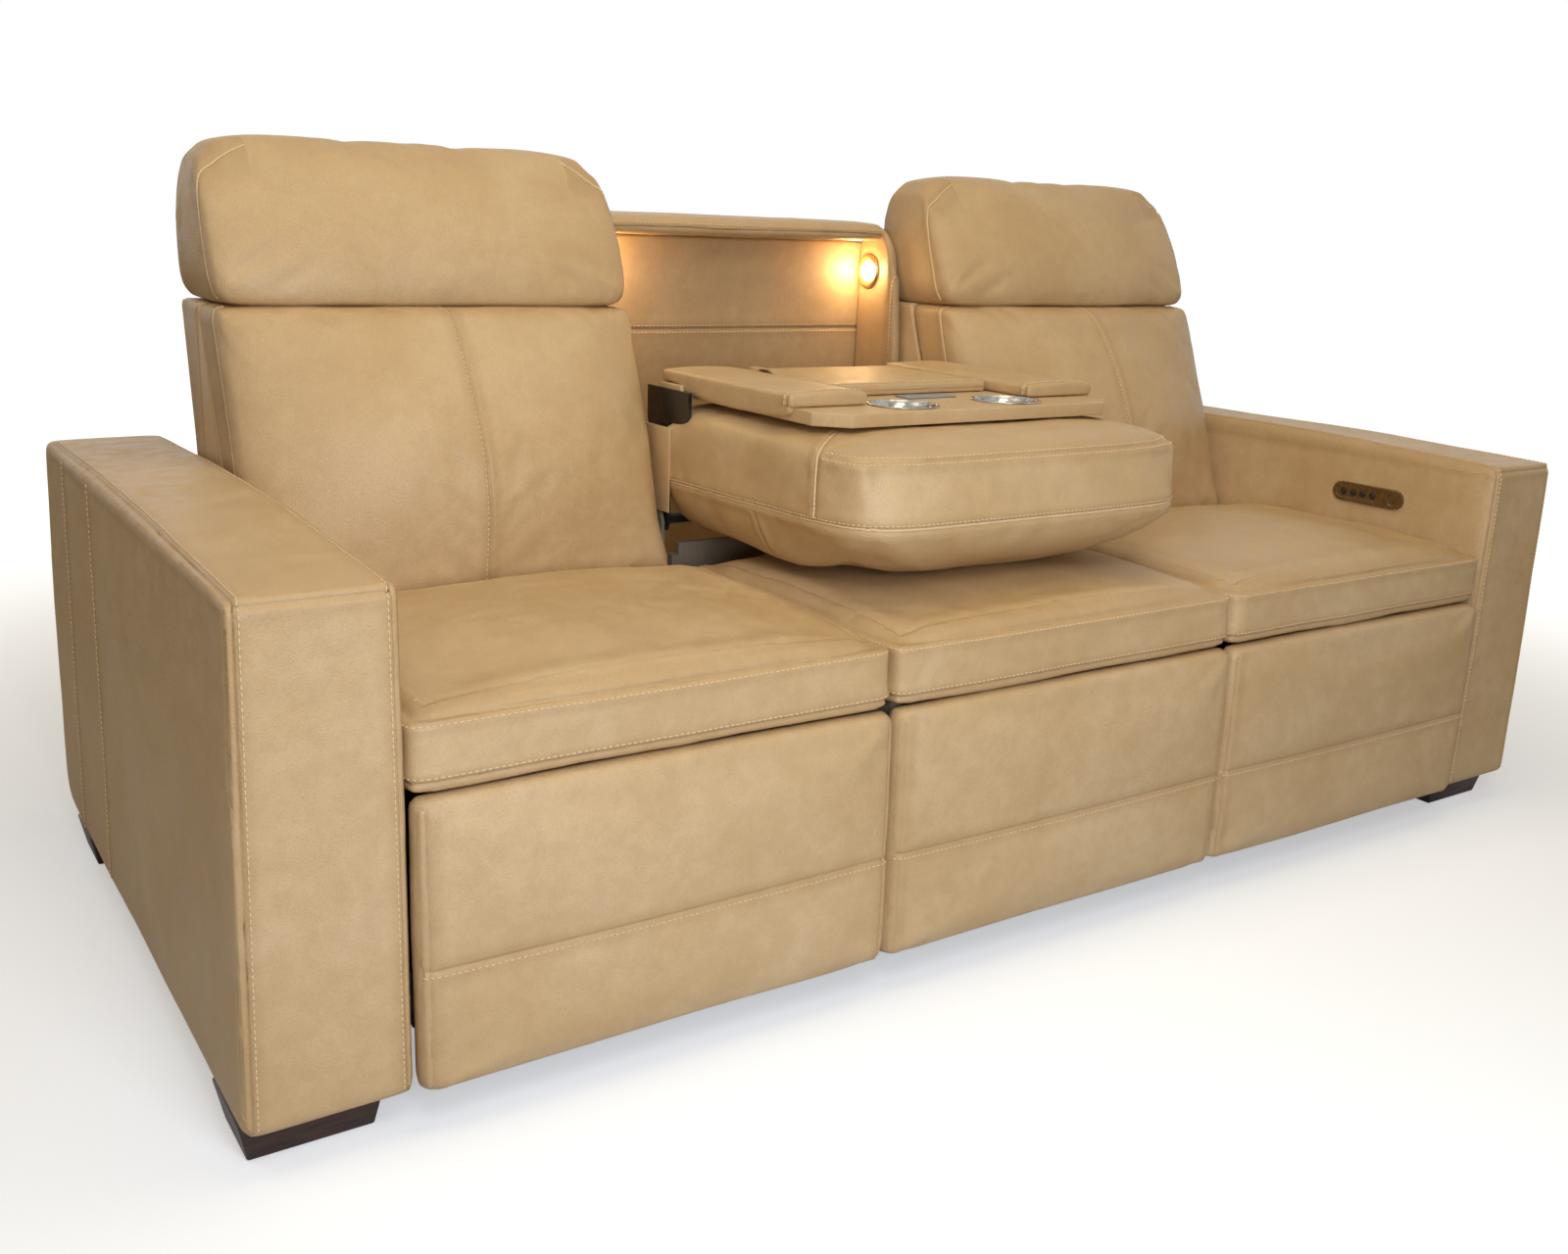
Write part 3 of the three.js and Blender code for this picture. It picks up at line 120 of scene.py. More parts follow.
class NodeTree:
    """Small helper that adds and links nodes in one tree."""

    def __init__(self, tree: bpy.types.NodeTree) -> None:
        """Keeps the tree.

        Args:
            tree: The node tree to fill.
        """
        self.tree = tree

    def add(self, kind: str, **inputs: object) -> bpy.types.Node:
        """Adds a node and sets its inputs.

        Args:
            kind: Blender's type name of the node.
            inputs: Values or sockets by input name, with _ for a space.

        Returns:
            The new node.
        """
        node = self.tree.nodes.new(kind)
        for name, value in inputs.items():
            self.put(node, name.replace("_", " "), value)
        return node

    def put(self, node: bpy.types.Node, name: str | int, value: object) -> None:
        """Sets or links one input.

        Args:
            node: The node that takes the value.
            name: Name or index of its input.
            value: A number, a colour, or a socket to link.
        """
        socket = node.inputs[name]
        if isinstance(value, bpy.types.NodeSocket):
            self.tree.links.new(value, socket)
        else:
            socket.default_value = value

    def maths(self, operation: str, *values: object) -> bpy.types.NodeSocket:
        """Adds a Math node.

        Args:
            operation: Blender's name of the operation.
            values: Its numbers or sockets.

        Returns:
            The result socket.
        """
        node = self.tree.nodes.new("ShaderNodeMath")
        node.operation = operation
        for index, value in enumerate(values):
            self.put(node, index, value)
        return node.outputs[0]

    def ramp(self, value: object, low: float, high: float, start: float = 0.0,
             end: float = 1.0) -> bpy.types.NodeSocket:
        """Maps a value range smoothly onto another.

        Args:
            value: The socket to map.
            low: Value that gives start.
            high: Value that gives end.
            start: First result.
            end: Last result.

        Returns:
            The result socket.
        """
        node = self.tree.nodes.new("ShaderNodeMapRange")
        node.interpolation_type = "SMOOTHSTEP"
        for name, number in (("Value", value), ("From Min", low), ("From Max", high),
                             ("To Min", start), ("To Max", end)):
            self.put(node, name, number)
        return node.outputs["Result"]

    def mix(self, share: object, first: object, second: object) -> bpy.types.NodeSocket:
        """Mixes two colours.

        Args:
            share: How much of the second.
            first: First colour or socket.
            second: Second colour or socket.

        Returns:
            The colour socket.
        """
        node = self.tree.nodes.new("ShaderNodeMix")
        node.data_type = "RGBA"
        for index, value in ((0, share), (6, first), (7, second)):
            self.put(node, index, value)
        return node.outputs[2]

    def place(self) -> bpy.types.NodeSocket:
        """Adds a node that gives the object's own coordinates."""
        return self.add("ShaderNodeTexCoord").outputs["Object"]

    def noise(self, **inputs: object) -> bpy.types.NodeSocket:
        """Adds a noise with the given inputs and gives its value."""
        return self.add("ShaderNodeTexNoise", **inputs).outputs["Fac"]

    def effect(self, effect: Effect, **inputs: float) -> bpy.types.Node:
        """Places a shared effect.

        Args:
            effect: The effect.
            inputs: Its values, with _ for a space.

        Returns:
            The group node.
        """
        node = self.tree.nodes.new("ShaderNodeGroup")
        node.node_tree = Effects.get(effect)
        for name, value in inputs.items():
            self.put(node, name.replace("_", " "), value)
        return node

    def bump(self, shader: bpy.types.Node, **inputs: object) -> None:
        """Adds a bump and links it to a shader.

        Args:
            shader: The shader that takes the normal.
            inputs: Inputs of the bump.
        """
        self.put(shader, "Normal", self.add("ShaderNodeBump", **inputs).outputs["Normal"])


class Effects:
    """Builds each shared effect once, as a node group."""

    _made: dict[Effect, bpy.types.NodeTree] = {}

    @classmethod
    def get(cls, effect: Effect) -> bpy.types.NodeTree:
        """Gives the group of an effect, building it at first use.

        Args:
            effect: The effect.

        Returns:
            The node group.
        """
        if effect not in cls._made:
            build = {Effect.GRAIN: cls.grain, Effect.MOTTLING: cls.mottling, Effect.CREASE: cls.crease,
                     Effect.BRUSHED: cls.brushed}[effect]
            cls._made[effect] = build()
        return cls._made[effect]

    @staticmethod
    def group(effect: Effect, inputs: dict[str, float],
              outputs: Sequence[str]) -> tuple[NodeTree, bpy.types.Node, bpy.types.Node]:
        """Makes an empty node group with number sockets.

        Args:
            effect: The effect that it is for.
            inputs: Names and defaults of its inputs.
            outputs: Names of its outputs.

        Returns:
            The tree helper, the group's input node and its output node.
        """
        tree = bpy.data.node_groups.new(effect.value, "ShaderNodeTree")
        for label, default in inputs.items():
            tree.interface.new_socket(label, in_out="INPUT", socket_type=FLOAT).default_value = default
        for label in outputs:
            tree.interface.new_socket(label, in_out="OUTPUT", socket_type=FLOAT)
        return NodeTree(tree), tree.nodes.new("NodeGroupInput"), tree.nodes.new("NodeGroupOutput")

    @classmethod
    def grain(cls) -> bpy.types.NodeTree:
        """Fine pebble of the hide: a height and a mask of its pits."""
        nodes, given, out = cls.group(Effect.GRAIN, {"Scale": 620.0, "Spread": 0.35}, ("Height", "Pits"))
        where = nodes.place()
        wander = nodes.add("ShaderNodeTexNoise", Vector=where, Scale=45.0, Detail=2.0)
        moved = nodes.tree.nodes.new("ShaderNodeVectorMath")
        moved.operation = "MULTIPLY_ADD"
        for index, value in enumerate((wander.outputs["Color"], (0.004, 0.004, 0.004), where)):
            nodes.put(moved, index, value)
        cells = nodes.add("ShaderNodeTexVoronoi", Vector=moved.outputs[0], Scale=given.outputs["Scale"],
                          Randomness=0.9)
        cells.feature = "SMOOTH_F1"
        fine = nodes.noise(Vector=where, Scale=1500.0, Detail=2.0)
        pits = nodes.ramp(cells.outputs["Distance"], 0.25, 0.75)
        fine_part = nodes.maths("MULTIPLY", fine, given.outputs["Spread"])
        nodes.put(out, "Height", nodes.maths("SUBTRACT", fine_part, pits))
        nodes.put(out, "Pits", pits)
        return nodes.tree

    @classmethod
    def mottling(cls) -> bpy.types.NodeTree:
        """Uneven aniline colour of the hide: a broad and a small mask."""
        nodes, given, out = cls.group(Effect.MOTTLING, {"Scale": 5.0}, ("Broad", "Small"))
        where, scale = nodes.place(), given.outputs["Scale"]
        broad = nodes.noise(Vector=where, Scale=scale, Detail=5.0, Roughness=0.55, Distortion=0.6)
        small = nodes.noise(Vector=where, Scale=nodes.maths("MULTIPLY", scale, 7.0), Detail=6.0,
                            Roughness=0.62, Distortion=0.4)
        nodes.put(out, "Broad", nodes.ramp(broad, 0.33, 0.68))
        nodes.put(out, "Small", nodes.ramp(small, 0.36, 0.66))
        return nodes.tree

    @classmethod
    def crease(cls) -> bpy.types.NodeTree:
        """Folds and painted shade near the sewn lines, read from the piece's seam attribute."""
        nodes, given, out = cls.group(Effect.CREASE, {"Pucker Scale": 60.0}, ("Near", "Pucker"))
        near = nodes.tree.nodes.new("ShaderNodeAttribute")
        near.attribute_name = "seam"
        folds = nodes.noise(Vector=nodes.place(), Scale=given.outputs["Pucker Scale"], Detail=2.0,
                            Roughness=0.4)
        nodes.put(out, "Near", near.outputs["Fac"])
        nodes.put(out, "Pucker", nodes.maths("MULTIPLY", folds, near.outputs["Fac"]))
        return nodes.tree

    @classmethod
    def brushed(cls) -> bpy.types.NodeTree:
        """Fine uneven polish of metal and lacquer: a mask."""
        nodes, given, out = cls.group(Effect.BRUSHED, {"Scale": 120.0}, ("Mask",))
        streaks = nodes.noise(Vector=nodes.place(), Scale=given.outputs["Scale"], Detail=4.0, Roughness=0.7)
        nodes.put(out, "Mask", nodes.ramp(streaks, 0.3, 0.7))
        return nodes.tree


# Finishes


@dataclass(frozen=True)
class Finish:
    """A finish with a name of its own; each kind paints its material in its own way."""

    name: str

    def build(self) -> bpy.types.Material:
        """Builds the material.

        Returns:
            The material.
        """
        material = bpy.data.materials.new(self.name)
        material.use_nodes = True
        shader = next(n for n in material.node_tree.nodes if n.type == "BSDF_PRINCIPLED")
        self.paint(NodeTree(material.node_tree), shader)
        return material

    def paint(self, nodes: NodeTree, shader: bpy.types.Node) -> None:
        """Fills the material's tree.

        Args:
            nodes: The tree.
            shader: Its Principled shader.
        """
        raise NotImplementedError


@dataclass(frozen=True)
class Leather(Finish):
    """Soft mottled hide with pebble grain, paler patches and creases near seams, darkened there by painted
    shade.
    """

    name: str = "tan_hide"
    colour: Colour = (0.560, 0.396, 0.212)
    pale: Colour = (0.685, 0.530, 0.340)
    deep: Colour = (0.405, 0.262, 0.124)
    roughness: float = 0.47
    shine: float = 0.42
    grain: float = 0.00028
    pucker: float = 0.0022
    mottle_scale: float = 5.0
    grain_scale: float = 560.0
    pucker_scale: float = 42.0
    pale_share: float = 0.50
    deep_share: float = 0.22
    pit_share: float = 0.22
    seam_share: float = 0.38

    def paint(self, nodes: NodeTree, shader: bpy.types.Node) -> None:
        """Fills the leather's tree.

        Args:
            nodes: The tree.
            shader: Its Principled shader.
        """
        mottle = nodes.effect(Effect.MOTTLING, Scale=self.mottle_scale).outputs
        grain = nodes.effect(Effect.GRAIN, Scale=self.grain_scale).outputs
        crease = nodes.effect(Effect.CREASE, Pucker_Scale=self.pucker_scale).outputs
        pale = nodes.maths("MULTIPLY", mottle["Broad"], self.pale_share)
        tone = nodes.mix(pale, rgba(self.colour), rgba(self.pale))
        darker = nodes.maths("MULTIPLY", nodes.maths("SUBTRACT", 1.0, mottle["Small"]), self.deep_share)
        pits = nodes.maths("MULTIPLY", grain["Pits"], self.pit_share)
        # painted shade: the hide is darkened towards each sewn line
        seam_shade = nodes.ramp(crease["Near"], 0.35, 1.0, 0.0, self.seam_share)
        for share in (darker, pits, seam_shade):
            tone = nodes.mix(share, tone, rgba(self.deep))
        nodes.put(shader, "Base Color", tone)
        nodes.put(shader, "Roughness", nodes.ramp(mottle["Small"], 0.0, 1.0, self.roughness - 0.07,
                                                   self.roughness + 0.08))
        nodes.put(shader, "Specular IOR Level", self.shine)
        folds = nodes.add("ShaderNodeBump", Strength=1.0, Distance=self.pucker, Height=crease["Pucker"])
        nodes.bump(shader, Strength=0.75, Distance=self.grain, Height=grain["Height"],
                   Normal=folds.outputs["Normal"])


@dataclass(frozen=True)
class Solid(Finish):
    """A hard finish: metal, lacquer, moulded plastic or thread."""

    colour: Colour
    second: Colour
    roughness: float
    metallic: float = 0.0
    scale: float = 120.0
    relief: float = 0.00005
    coat: float = 0.0

    def paint(self, nodes: NodeTree, shader: bpy.types.Node) -> None:
        """Fills the tree.

        Args:
            nodes: The tree.
            shader: Its Principled shader.
        """
        mask = nodes.effect(Effect.BRUSHED, Scale=self.scale).outputs["Mask"]
        nodes.put(shader, "Base Color", nodes.mix(mask, rgba(self.colour), rgba(self.second)))
        nodes.put(shader, "Roughness", nodes.ramp(mask, 0.0, 1.0, self.roughness * 0.85,
                                                   self.roughness * 1.2))
        nodes.put(shader, "Metallic", self.metallic)
        nodes.put(shader, "Coat Weight", self.coat)
        nodes.bump(shader, Strength=0.5, Distance=self.relief, Height=mask)


@dataclass(frozen=True)
class Wood(Finish):
    """Dark stained wood of the feet, with a grain that runs across the sofa."""

    name: str = "stained_wood"
    dark: Colour = (0.020, 0.0085, 0.0048)
    light: Colour = (0.060, 0.024, 0.012)
    stretch: tuple[float, float, float] = (9.0, 60.0, 60.0)
    lacquer: float = 0.25

    def paint(self, nodes: NodeTree, shader: bpy.types.Node) -> None:
        """Fills the wood's tree.

        Args:
            nodes: The tree.
            shader: Its Principled shader.
        """
        stretched = nodes.add("ShaderNodeMapping", Vector=nodes.place(), Scale=self.stretch)
        rings = nodes.noise(Vector=stretched.outputs[0], Scale=1.0, Detail=6.0, Roughness=0.65,
                            Distortion=1.2)
        share = nodes.ramp(rings, 0.3, 0.7)
        nodes.put(shader, "Base Color", nodes.mix(share, rgba(self.dark), rgba(self.light)))
        nodes.put(shader, "Roughness", nodes.ramp(share, 0.0, 1.0, 0.3, 0.42))
        nodes.put(shader, "Coat Weight", self.lacquer)
        nodes.put(shader, "Coat Roughness", 0.2)
        nodes.bump(shader, Strength=0.4, Distance=0.0002, Height=share)


@dataclass(frozen=True)
class Weave(Finish):
    """Coarse woven cloth of the dust screen."""

    name: str = "screen_cloth"
    dark: Colour = (0.135, 0.112, 0.084)
    light: Colour = (0.310, 0.265, 0.210)
    scale: float = 150.0

    def paint(self, nodes: NodeTree, shader: bpy.types.Node) -> None:
        """Fills the cloth's tree.

        Args:
            nodes: The tree.
            shader: Its Principled shader.
        """
        where = nodes.place()
        bands = []
        for direction in ("X", "Z"):
            wave = nodes.add("ShaderNodeTexWave", Vector=where, Scale=self.scale, Distortion=0.6)
            wave.bands_direction = direction
            bands.append(wave.outputs["Fac"])
        woven = nodes.maths("MULTIPLY", *bands)
        nodes.put(shader, "Base Color", nodes.mix(woven, rgba(self.dark), rgba(self.light)))
        nodes.put(shader, "Roughness", 0.92)
        nodes.bump(shader, Strength=0.8, Distance=0.0006, Height=woven)


@dataclass(frozen=True)
class Glow(Finish):
    """Lamp lens lit from behind, uneven like moulded glass."""

    name: str = "lamp_glow"
    colour: Colour = (1.0, 0.80, 0.48)
    bright: Colour = (1.0, 0.9, 0.7)
    strength: float = 9.0

    def paint(self, nodes: NodeTree, shader: bpy.types.Node) -> None:
        """Fills the lens's tree.

        Args:
            nodes: The tree.
            shader: Its Principled shader.
        """
        mask = nodes.effect(Effect.BRUSHED, Scale=90.0).outputs["Mask"]
        warm = nodes.mix(mask, rgba(self.colour), rgba(self.bright))
        for name, value in (("Base Color", warm), ("Emission Color", warm),
                            ("Emission Strength", self.strength), ("Roughness", 0.3)):
            nodes.put(shader, name, value)


@dataclass(frozen=True)
class PaleFloor(Finish):
    """Floor that fades to white away from the sofa."""

    name: str = "pale_floor"
    base: Colour = (0.72, 0.78, 0.88)
    near: float = 1.3
    far: float = 3.2
    near_glow: float = 0.42

    def paint(self, nodes: NodeTree, shader: bpy.types.Node) -> None:
        """Fills the floor's tree.

        Args:
            nodes: The tree.
            shader: Its Principled shader.
        """
        away = nodes.add("ShaderNodeVectorMath", Vector=nodes.place())
        away.operation = "LENGTH"
        glow = nodes.ramp(away.outputs["Value"], self.near, self.far, self.near_glow, 1.0)
        seen = nodes.add("ShaderNodeLightPath").outputs["Is Camera Ray"]
        for name, value in (("Roughness", 1.0), ("Specular IOR Level", 0.0), ("Base Color", rgba(self.base)),
                            ("Emission Color", WHITE),
                            ("Emission Strength", nodes.maths("MULTIPLY", glow, seen))):
            nodes.put(shader, name, value)


class Finishes:
    """All finishes of the sofa, each material built once."""

    def __init__(self) -> None:
        """Builds every material."""
        self.leather = Leather().build()
        # painted shade: a darker copy of the leather for the recess behind the console
        self.shaded = Leather("shaded_hide", (0.505, 0.352, 0.190), (0.61, 0.455, 0.275),
                              (0.34, 0.215, 0.10)).build()
        self.thread = Solid("cream_thread", (0.78, 0.62, 0.40), (0.66, 0.50, 0.30), 0.7,
                            scale=900.0).build()
        self.steel = Solid("black_lacquer", (0.008, 0.008, 0.009), (0.016, 0.016, 0.018), 0.22,
                           coat=0.5).build()
        self.stainless = Solid("bright_steel", (0.50, 0.47, 0.42), (0.22, 0.20, 0.17), 0.20,
                               metallic=1.0, scale=60.0).build()
        self.bronze = Solid("dark_bronze", (0.30, 0.215, 0.115), (0.20, 0.14, 0.072), 0.30,
                            metallic=1.0).build()
        self.copper = Solid("brushed_copper", (0.78, 0.50, 0.27), (0.62, 0.38, 0.19), 0.30,
                            metallic=1.0, scale=80.0).build()
        self.plastic = Solid("black_moulding", (0.010, 0.0095, 0.009), (0.020, 0.019, 0.018), 0.35).build()
        self.outlet = Solid("grey_cover", (0.20, 0.24, 0.27), (0.26, 0.30, 0.32), 0.4).build()
        self.wood = Wood().build()
        self.cloth = Weave().build()
        self.glow = Glow().build()


# Mesh work


def near_any(heights: np.ndarray, lines: Iterable[float]) -> np.ndarray:
    """Tells which heights lie at one of some sewn lines, all in millimetres."""
    return np.any([np.abs(heights - line) < HOLD for line in lines], axis=0)


def clear_selection() -> None:
    """Deselects every object and leaves edit mode."""
    if bpy.context.object and bpy.context.object.mode != "OBJECT":
        bpy.ops.object.mode_set(mode="OBJECT")
    bpy.ops.object.select_all(action="DESELECT")


def activate(piece: bpy.types.Object) -> None:
    """Makes one object the only selected and active one.

    Args:
        piece: The object.
    """
    clear_selection()
    piece.select_set(True)
    bpy.context.view_layer.objects.active = piece


def new_object(name: str, data: bpy.types.ID) -> bpy.types.Object:
    """Adds an object to the scene.

    Args:
        name: Its name.
        data: The mesh, light or camera that it shows.

    Returns:
        The object.
    """
    made = bpy.data.objects.new(name, data)
    bpy.context.scene.collection.objects.link(made)
    return made


def new_light(name: str, kind: str, power: float, colour: Colour) -> bpy.types.Object:
    """Adds a lamp.

    Args:
        name: Its name.
        kind: Blender's kind of light.
        power: Strength in watts.
        colour: Its colour.

    Returns:
        The lamp's object.
    """
    light = bpy.data.lights.new(name, kind)
    light.energy = power
    light.color = colour
    return new_object(name, light)


def rows_of(items: bpy.types.bpy_prop_collection, name: str) -> np.ndarray:
    """Reads a property of three numbers from each item.

    Args:
        items: Vertices or faces of a mesh.
        name: Name of the property.

    Returns:
        One row an item.
    """
    values = np.empty(len(items) * 3, np.float32)
    items.foreach_get(name, values)
    return values.reshape(-1, 3).astype(float)


def points_of(piece: bpy.types.Object) -> np.ndarray:
    """Vertex places of a piece, in metres."""
    return rows_of(piece.data.vertices, "co")


def normals_of(piece: bpy.types.Object) -> np.ndarray:
    """Vertex normals of a piece."""
    return rows_of(piece.data.vertices, "normal")


def put_points(piece: bpy.types.Object, places: np.ndarray) -> None:
    """Writes vertex places back.

    Args:
        piece: The object to change.
        places: One row a vertex, in metres.
    """
    piece.data.vertices.foreach_set("co", places.astype(np.float32).ravel())
    piece.data.update()


def apply_modifier(piece: bpy.types.Object, kind: str, **settings: object) -> None:
    """Adds a modifier, sets it and applies it.

    Args:
        piece: The object to change.
        kind: Blender's modifier type.
        settings: Its properties.
    """
    activate(piece)
    modifier = piece.modifiers.new(kind.lower(), kind)
    for name, value in settings.items():
        setattr(modifier, name, value)
    bpy.ops.object.modifier_apply(modifier=modifier.name)


def divide(piece: bpy.types.Object, levels: int) -> None:
    """Rounds a piece by subdividing its faces, where there are levels."""
    if levels:
        apply_modifier(piece, "SUBSURF", levels=levels, render_levels=levels)


def bevel(piece: bpy.types.Object, width: float, segments: int = 2, sharper: float = 30.0) -> None:
    """Rounds the sharp edges of a piece.

    Args:
        piece: The piece.
        width: Width of the rounding in millimetres.
        segments: Its number of steps.
        sharper: Least angle of an edge that is rounded, in degrees.
    """
    apply_modifier(piece, "BEVEL", width=width * MM, segments=segments, limit_method="ANGLE",
                   angle_limit=math.radians(sharper))


def remesh(piece: bpy.types.Object, passes: int) -> None:
    """Gives a piece an even mesh, smoothed by some passes."""
    apply_modifier(piece, "REMESH", mode="VOXEL", voxel_size=SOFT_VOXEL * MM, use_smooth_shade=True)
    apply_modifier(piece, "SMOOTH", factor=0.5, iterations=passes)


def from_node(node: str, name: str, levels: int = 1) -> bpy.types.Object:
    """Starts a piece from the solid of a CAD node, with its facets made quads and rounded.

    Args:
        node: The CAD node.
        name: Name of the new piece.
        levels: Subdivision levels.

    Returns:
        The new object, at the origin.
    """
    piece = new_object(name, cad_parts[node].data.copy())
    piece.matrix_world = Matrix.Identity(4)
    piece.data.materials.clear()
    for attribute in [a.name for a in piece.data.attributes if a.name.startswith("custom_normal")]:
        piece.data.attributes.remove(piece.data.attributes[attribute])
    activate(piece)
    bpy.ops.object.mode_set(mode="EDIT")
    bpy.ops.mesh.select_all(action="SELECT")
    bpy.ops.mesh.remove_doubles(threshold=0.00002)
    bpy.ops.mesh.tris_convert_to_quads(face_threshold=math.radians(50), shape_threshold=math.radians(60))
    bpy.ops.mesh.normals_make_consistent(inside=False)
    bpy.ops.object.mode_set(mode="OBJECT")
    divide(piece, levels)
    return piece


def smooth_shading(piece: bpy.types.Object, angle: float = 180.0) -> None:
    """Shades a piece smoothly.

    Args:
        piece: The piece.
        angle: Sharpest edge that is shaded smoothly, in degrees.
    """
    activate(piece)
    if angle >= 180:
        bpy.ops.object.shade_smooth()
    else:
        bpy.ops.object.shade_smooth_by_angle(angle=math.radians(angle))


def soften(piece: bpy.types.Object, where: Keep, passes: int) -> None:
    """Smooths part of a piece, so that its edges there turn into soft rolls.

    Args:
        piece: The piece.
        where: Tells which points are smoothed.
        passes: How many times.
    """
    group = piece.vertex_groups.new(name="soft")
    group.add(np.nonzero(where(points_of(piece) / MM))[0].tolist(), 1.0, "REPLACE")
    apply_modifier(piece, "SMOOTH", factor=0.6, iterations=passes, vertex_group=group.name)
    piece.vertex_groups.clear()


def fit_box(piece: bpy.types.Object, node: str, proud: float) -> None:
    """Keeps a soft piece within its node's box, with a little room to stand proud.

    Args:
        piece: The piece.
        node: The CAD node that it replaces.
        proud: How far it may stand out, in millimetres.
    """
    low, high = (np.array(corner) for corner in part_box(node))
    put_points(piece, np.clip(points_of(piece), low - proud * MM, high + proud * MM))


@dataclass(frozen=True)
class Wave:
    """Soft waves in a hide, of a size and height in millimetres.

    The pattern is shifted by seed, and once more for every drift that a seat stands off centre.
    """

    size: float
    height: float
    seed: float = 0.0
    drift: float = 1.0
    stretch: tuple[float, float, float] = (1.0, 1.0, 1.0)

    def shape(self, piece: bpy.types.Object, centre: float = 0.0) -> None:
        """Raises the waves on a piece.

        Args:
            piece: The piece.
            centre: Where its middle stands across the sofa.
        """
        places, normals = points_of(piece), normals_of(piece)
        scaled = places / (self.size * MM) / np.array(self.stretch) + (centre / self.drift + self.seed)
        waves = np.array([noise.noise(Vector(p)) for p in scaled])
        put_points(piece, places + normals * (waves * self.height * MM)[:, None])


def settle(piece: bpy.types.Object, node: str, waves: Iterable[Wave], proud: float,
           centre: float = 0.0) -> None:
    """Raises the waves in a hide and keeps the piece within its node's box.

    Args:
        piece: The piece.
        node: The CAD node that it replaces.
        waves: The waves.
        proud: How far it may stand out of the box, in millimetres.
        centre: Where its middle stands across the sofa.
    """
    for wave in waves:
        wave.shape(piece, centre)
    fit_box(piece, node, proud)


@dataclass(frozen=True)
class EdgeFill:
    """Filling behind an edge of a cushion, fullest at a distance from it, in millimetres."""

    at: float
    spread: float
    rise: float

    def shape(self, piece: bpy.types.Object, inward: Keep, share: Keep) -> None:
        """Raises or lowers the piece there.

        Args:
            piece: The piece.
            inward: Gives each point's distance behind the edge.
            share: Gives how much of the rise each point takes.
        """
        places = points_of(piece)
        where = places / MM
        added = self.rise * np.exp(-((inward(where) - self.at) / self.spread) ** 2) * share(where)
        places[:, 2] += added * MM
        put_points(piece, places)


@dataclass(frozen=True)
class Puffer:
    """Fills padded pieces by a short cloth simulation held at the seams."""

    cap: float = 16.0
    pressure: float = 3.0
    stiffness: float = 12.0
    levels: int = 1
    frames: int = 16

    def fill(self, piece: bpy.types.Object, pins: Keep) -> None:
        """Remeshes a piece, blows it up like a cushion and applies the result.

        Args:
            piece: The piece, closed.
            pins: Tells which points the seams and supports hold.
        """
        remesh(piece, 3)
        self.blow(piece, pins)
        divide(piece, self.levels)

    def blow(self, piece: bpy.types.Object, pins: Keep) -> None:
        """Runs the simulation and caps how far each point moves.

        Args:
            piece: The piece, remeshed.
            pins: Tells which points are held.
        """
        start = points_of(piece)
        activate(piece)
        group = piece.vertex_groups.new(name="held")
        group.add(np.nonzero(pins(start / MM))[0].tolist(), 1.0, "REPLACE")
        cloth = piece.modifiers.new("cloth", "CLOTH")
        settings = cloth.settings
        settings.quality = 4
        settings.mass = 0.4
        settings.tension_stiffness = settings.compression_stiffness = self.stiffness
        settings.shear_stiffness = self.stiffness * 0.6
        settings.bending_stiffness = 2.5
        settings.use_pressure = True
        settings.uniform_pressure_force = self.pressure
        settings.effector_weights.gravity = 0.0
        settings.vertex_group_mass = group.name
        cloth.collision_settings.use_collision = False
        cloth.collision_settings.use_self_collision = False
        cloth.point_cache.frame_end = self.frames
        for frame in range(1, self.frames + 1):
            bpy.context.scene.frame_set(frame)
        bpy.ops.object.modifier_apply(modifier=cloth.name)
        bpy.context.scene.frame_set(1)
        step = points_of(piece) - start
        size = np.linalg.norm(step, axis=1)
        most = self.cap * MM
        scale = np.where(size > 1e-9, most * np.tanh(size / most) / np.maximum(size, 1e-9), 1.0)
        put_points(piece, start + step * scale[:, None])
        piece.vertex_groups.clear()


# Sewing


@dataclass
class Seam:
    """A sewn line: where a plane cuts a piece, within the part of it that keep accepts.

    Points and offsets are millimetres. The rows of stitches run beside the line, and a piping
    cord, where it has one, on it.
    """

    at: Place
    normal: Place
    keep: Keep
    depth: float = 2.2
    width: float = 4.0
    hump: float = 0.8
    rows: tuple[float, ...] = (6.0,)
    pitch: float = 7.5
    cord: float = 0.0

    @property
    def unit(self) -> np.ndarray:
        """Its normal, of length one."""
        normal = np.array(self.normal, float)
        return normal / np.linalg.norm(normal)

    def signed(self, places: np.ndarray) -> np.ndarray:
        """Distance of each place, given in metres, from the plane in millimetres."""
        return (places / MM - np.array(self.at)) @ self.unit

    def moved(self, offset: float) -> "Seam":
        """The same line shifted along its normal, in millimetres."""
        return replace(self, at=tuple(np.array(self.at) + self.unit * offset))


